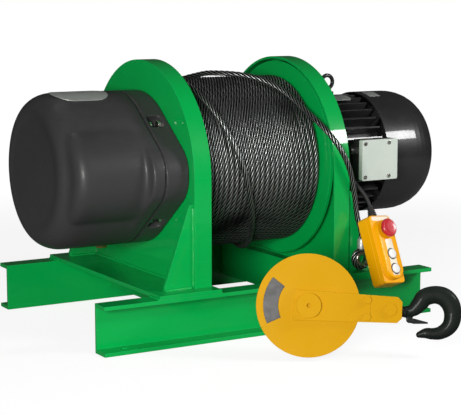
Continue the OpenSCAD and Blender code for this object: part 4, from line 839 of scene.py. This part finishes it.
def edgeLoops(look, side):
    # a quarter round from the side wall to the face, towards -Y or +Y
    face = look["front"] if side < 0 else look["back"]
    return [shellLoop(look, look["edge"] * (1 - math.cos(math.radians(a))),
                      face - side * look["edge"] * (1 - math.sin(math.radians(a))))
            for a in range(0, 91, 10)]


def innerLoops(look, outward, seamSide):
    # from inside the wall, over the joint, to the outer side beside the seam
    wall, joint, seam = look["wall"], look["joint"], look["seam"]
    return [shellLoop(look, wall, outward), shellLoop(look, wall, joint),
            shellLoop(look, seam, joint), shellLoop(look, 0, joint + seamSide * seam)]


def addPendant(look):
    place, wall, front = look["place"], look["wall"], look["front"]
    across = place @ placeAt((look["padX"], 0, 0))
    pad = front - look["padRise"]
    cover = innerLoops(look, front + wall, -1) + edgeLoops(look, -1)
    sides = [(inset, front + rise) for inset, rise in look["padFoot"]]
    sides += [(inset, pad + rise) for inset, rise in look["padEdge"]]
    for inset, depth in sides:
        width, height = look["padWidth"] - 2 * inset, look["padHeight"] - 2 * inset
        loop = roundLoop(width, height, width / 2 - look["padFlat"], depth, look["padMiddle"])
        cover.append([(x + look["padX"], y, z) for x, y, z in loop])
    obj = loft("pendantCover", cover, place, "frame", "amber_plastic", stands=["pendant_front"])
    pushHoles = [(look["pushHole"], z) for z in look["pushes"]]
    cutRounds(obj, [(look["stopHole"], look["stop"])] + pushHoles, across)
    loft("pendantShell", innerLoops(look, look["back"] - wall, 1) + edgeLoops(look, 1), place,
         "frame", "amber_plastic", stands=["pendant_back"])
    collars = [(f"pushCollar{abs(z)}", look["pushCollar"], z) for z in look["pushes"]]
    for name, profile, z in collars + [("stopCollar", look["stopCollar"], look["stop"])]:
        lathe(name, profile, across @ placeAt((0, pad, z), (-90, "X")), "frame",
              "black_plastic", 56)
    strip = addLabel("pendantLabel", labelLook["strip"], pad, across)
    cutRounds(strip, [(labelLook["strip"]["holes"], z) for z in look["pushes"]], across)
    addLabel("pendantTopLabel", labelLook["top"], front, place)


def addLabel(name, label, face, place):
    loops = [roundLoop(label["width"] - 2 * inset, label["height"] - 2 * inset,
                       label["corner"] - inset, face + rise, label["middle"])
             for inset, rise in label["layers"]]
    return loft(name, loops, place, "frame", "white_plastic", finish="label_cream")


def addButtons(look):
    front = look["front"]
    across = look["place"] @ placeAt((look["padX"], 0, 0))
    lathe("stopHead", look["stopHead"], across @ placeAt((0, front, look["stop"]), (90, "X")),
          "stop", "red_plastic", 72, stands=["stop_button"])
    for body, z in zip(("up", "down"), look["pushes"]):
        lathe(f"{body}Cap", look["pushCap"], across @ placeAt((0, front, z), (90, "X")), body,
              "white_plastic", 64, stands=[f"{body}_button"])


def addBoot(look, place):
    profile = list(look["foot"])
    for i in range(look["ribs"]):
        r = look["ribRadius"] - i * look["ribTaper"]
        z = look["ribFrom"] + i * look["ribPitch"]
        profile += [(r + out, z + up) for out, up in look["rib"]]
    lathe("pendantBoot", profile + look["tip"], place, "frame", "black_rubber", 48,
          stands=["pendant_boot"])


addPendant(pendantLook)
addButtons(pendantLook)
addBoot(bootLook, pendantLook["place"] @ placeAt((0, 0, pendantLook["height"] / 2)))
print("pendant made")


# Hook: one forging with its shank, collar, latch lug and nut

blockPlace = placeAt((-56, -462, 101.56), (-30.65, "Z"), (-12, "X"), (3, "Y"))
hookLook = {
    "place": blockPlace @ placeAt((158, 0, 0), (6, "Y")),
    "path": [[22, 0], [33, 2], [46, 7], [57, 22], [64, 34], [82, 42], [100, 41], [114, 31],
             [122, 15], [123, -4], [117, -18], [104, -29], [90, -33], [77, -34], [64, -39]],
    "radii": [9, 10, 13, 16, 17, 17, 18, 18, 17, 16, 14.5, 12.5, 11, 10, 6],
    "sides": 28, "step": 2.5, "flat": 0.75, "tipFlat": 0.8, "tipDepth": 0.98,
    "shank": [(0, -23.3), (10.5, -23.3), (10.5, 33), (0, 33)],
    "nut": [(0, -23.3), (15, -23.3), (15, -14.3), (0, -14.3)],
    "collar": [(0, 14.3), (13.5, 14.3), (13.5, 21), (10.5, 24.8), (0, 24.8)],
    "lug": [(0, -3), (6, -3), (6, 3), (0, 3)], "lugAt": (41, 0, -14), "lugLong": 15,
    "voxel": 0.0011, "rounds": 14, "firmFrom": 14, "firmOver": 8, "firm": 0.15,
    "ridge": 0.5, "ridgeWide": 1.5, "ridgeFrom": 50, "ridgeOver": 10,
}


def hookTube(look):
    route = [[x, r, z] for (x, z), r in zip(look["path"], look["radii"])]
    path = routePoints(route, look["step"])
    radii = path[:, 1].copy()
    path[:, 1] = 0
    ahead = np.gradient(path, axis=0)
    ahead /= np.linalg.norm(ahead, axis=1)[:, None]
    inPlane = np.stack([-ahead[:, 2], np.zeros(len(path)), ahead[:, 0]], 1)
    sides, points = look["sides"], []
    across = look["flat"] * np.array((0, 1, 0))
    for p, r, n in zip(path, radii, inPlane):
        for k in range(sides):
            a = 2 * math.pi * k / sides
            points.append(p + r * (math.cos(a) * n + math.sin(a) * across))
    faces = ringFaces(sides, len(path)) + ringCaps(sides, len(path))
    return points, faces, path[-1], radii[-1]


def hookParts(look):
    # the bent tube, shank, nut, collar, latch lug with its block, and the round tip
    points, faces, end, tip = hookTube(look)
    ahead = placeAt((0, 0, 0), (90, "Y"))
    x, y, z = look["lugAt"]
    r, half = look["lug"][2]
    deep = tip * look["tipDepth"]
    ball = [(deep * math.cos(a), tip * math.sin(a)) for a in np.radians(range(-75, 76, 15))]
    tipPlace = placeAt(tuple(end)) @ Matrix.Scale(look["tipFlat"], 4, (0, 1, 0))
    box = [(x + sx * r, y + sy * half, h) for h in (z, z + look["lugLong"])
           for sx, sy in ((-1, -1), (1, -1), (1, 1), (-1, 1))]
    return [(points, faces), turnedShape(look["shank"], ahead, 48),
            turnedShape(look["nut"], ahead, 6), turnedShape(look["collar"], ahead, 48),
            turnedShape(look["lug"], placeAt(look["lugAt"], (90, "X")), 48),
            turnedShape([(0, -deep)] + ball + [(0, deep)], tipPlace, 48),
            (box, ringCaps(4, 2) + ringFaces(4, 2))]


def addHook(look):
    skin, points, normals, edges = voxelSkin(joinMeshes(hookParts(look)), look["voxel"])
    along = points[:, 0] * 1000
    weight = np.clip((along - look["firmFrom"]) / look["firmOver"], look["firm"], 1)
    points = relax(points, normals, edges, look["rounds"], weight, hollowOnly=0.5, reach=0.00005)
    ridge = look["ridge"] / 1000 * np.exp(-(points[:, 1] * 1000 / look["ridgeWide"]) ** 2)
    ridge *= np.clip((along - look["ridgeFrom"]) / look["ridgeOver"], 0, 1)
    ridge *= 1 - np.abs(normals[:, 1])
    points = moved((points + normals * ridge[:, None]) * 1000, look["place"]) / 1000
    finishSkin("forgedHook", skin, points, "load_hook", "forged_black", ["hook"])


addHook(hookLook)
print("hook made")


# Hook block: its bare black plate

plateLook = {"inner": 58, "outer": 87, "from": 144, "to": 206.5, "face": -18.0, "steps": 24,
             "layers": ((0, 0.05), (0, -0.5), (0.25, -0.7))}  # inset, and depth from the face


def addBlockPlate(look):
    loops = []
    for inset, depth in look["layers"]:
        turn = math.degrees(inset / look["outer"])
        angles = np.radians(np.linspace(look["from"] + turn, look["to"] - turn, look["steps"]))
        outer, inner, face = look["outer"] - inset, look["inner"] + inset, look["face"] + depth
        loops.append([(outer * math.cos(a), face, outer * math.sin(a)) for a in angles]
                     + [(inner * math.cos(a), face, inner * math.sin(a)) for a in angles[::-1]])
    loft("blockPlate", loops, blockPlace, "hook_block", "block_yellow", finish="black_plastic")


addBlockPlate(plateLook)
print("block plate laid")


# Weld beads along the base and the cheeks

weldLook = {
    "radius": 3.2, "ripple": 4.2, "sides": 10, "step": 1.1, "least": 0.82, "crest": 0.13,
    "swells": ((0.07, 0.21, 1.7), (0.05, 0.073, 1.0)), "end": 0.4, "off": 1.2, "offGusset": 0.8,
    "cheeks": ((-182, -1), (-172, 1), (188, -1), (198, 1)),  # each face, and where it looks
    "outerFaces": ((-182, -1), (198, 1)), "plateTop": 109, "cheekHalf": 233,
    "gussetY": 230, "gussetHalf": 4, "gussetFoot": (4, 64), "gussetTop": (112, 274),
    "plateSides": (-278.5, -136.5, 152.5, 294.5), "railTop": 101, "railY": (230, 270),
}


def weldLines(look):
    floor, half = look["plateTop"], look["cheekHalf"]
    lines = [((x + side * look["off"], -half, floor), (x + side * look["off"], half, floor))
             for x, side in look["cheeks"]]
    near, far = look["gussetFoot"]
    low, high = look["gussetTop"]
    for x, side in look["outerFaces"]:
        for y in (-look["gussetY"], look["gussetY"]):
            for face in (-look["gussetHalf"], look["gussetHalf"]):
                beside = y + face + math.copysign(look["offGusset"], face)
                lines.append(((x + side * near, beside, floor), (x + side * far, beside, floor)))
                lines.append(((x + side, beside, low), (x + side, beside, high)))
    near, far = look["railY"]
    for x in look["plateSides"]:
        for y in (-1, 1):
            lines.append(((x, y * near, look["railTop"]), (x, y * far, look["railTop"])))
    return lines


def addWelds(look, lines):
    points, faces = [], []
    for number, (start, end) in enumerate(lines):
        start, end = np.array(start, float), np.array(end, float)
        run = np.linalg.norm(end - start)
        steps = max(4, int(run / look["step"]))
        t = np.linspace(0, 1, steps)
        line = start + (end - start) * t[:, None]
        s = t * run
        swells = [(size, rate, number * start) for size, rate, start in look["swells"]]
        scales = look["crest"] * np.abs(np.sin(np.pi * s / look["ripple"] + number))
        radii = look["radius"] * (look["least"] + scales + waves(s, swells))
        radii[0] = radii[-1] = look["radius"] * look["end"]
        verts, quads, _ = tubeMesh(line, radii, roundShape(look["sides"]))
        faces += [[v + len(points) for v in face] for face in quads]
        points += verts.tolist()
    addPiece("weldBeads", points, faces, "frame", "green", sharp=60)


addWelds(weldLook, weldLines(weldLook))
print("welds laid")


# Floor and light

studio = {
    "floor": (0.24, 0.24, 0.24), "floorShade": 0.98, "floorRough": 0.8, "floorGloss": 0.2,
    "liftNear": 0.85, "fadeFrom": 1.1, "fadeTo": 2.6,
    "world": (1.0, 1.0, 1.0), "softLight": 0.055, "glossLight": 0.03, "halfSide": 30.0,
    "lights": [  # name, place, aim, size, power, colour
        ("keyBox", (-2.35, -2.75, 0.85), (0.0, 0.0, 0.3), (1.1, 0.9), 122, (1.0, 0.99, 0.97)),
        ("sideBox", (1.52, -1.62, 1.28), (0.3, -0.15, 0.4), (0.62, 0.46), 24, (1.0, 1.0, 1.0)),
        ("topBox", (-0.3, 0.9, 2.7), (0.0, 0.0, 0.3), (1.6, 0.5), 3, (1.0, 1.0, 1.0)),
    ],
}


def addFloor(look):
    material, tree, shader = startFinish("studioFloor")
    tone = spread(tree, grain(tree, 1.5, 3), 0.3, 0.7)
    shade = [c * look["floorShade"] for c in look["floor"]]
    seen = addNode(tree, "LightPath").outputs["Is Camera Ray"]
    place = addNode(tree, "TexCoord").outputs["Object"]
    away = addNode(tree, "VectorMath", {0: place}, operation="LENGTH").outputs["Value"]
    lift = spread(tree, away, look["fadeFrom"], look["fadeTo"], look["liftNear"], 1.0)
    fill(tree, shader, {
        "Base Color": blendColour(tree, tone, look["floor"], shade),
        "Roughness": look["floorRough"], "Specular IOR Level": look["floorGloss"],
        "Emission Color": (1, 1, 1, 1), "Emission Strength": calc(tree, "MULTIPLY", seen, lift)})
    mesh = bpy.data.meshes.new("studioFloor")
    side = look["halfSide"]
    mesh.from_pydata([(-side, -side, 0), (side, -side, 0), (side, side, 0), (-side, side, 0)], [],
                     [(0, 1, 2, 3)])
    mesh.materials.append(material)
    floor = bpy.data.objects.new("studioFloor", mesh)
    scene.collection.objects.link(floor)


def addLights(look):
    world = bpy.data.worlds.new("studioWorld")
    world.use_nodes = True
    tree = world.node_tree
    ray = addNode(tree, "LightPath").outputs
    soft = spread(tree, ray["Is Glossy Ray"], 0, 1, look["softLight"], look["glossLight"])
    rest = calc(tree, "SUBTRACT", 1.0, soft)  # the camera sees the world at full strength
    fill(tree, tree.nodes["Background"].inputs, {
        "Color": (*look["world"], 1.0),
        "Strength": calc(tree, "MULTIPLY_ADD", rest, ray["Is Camera Ray"], soft)})
    scene.world = world
    for name, place, aim, size, power, colour in look["lights"]:
        data = bpy.data.lights.new(name, "AREA")
        data.shape, data.size, data.size_y = "RECTANGLE", size[0], size[1]
        data.energy, data.color = power, colour
        light = bpy.data.objects.new(name, data)
        light.location = place
        light.rotation_euler = (Vector(aim) - Vector(place)).to_track_quat("-Z", "Y").to_euler()
        scene.collection.objects.link(light)


addFloor(studio)
addLights(studio)
print("studio set")
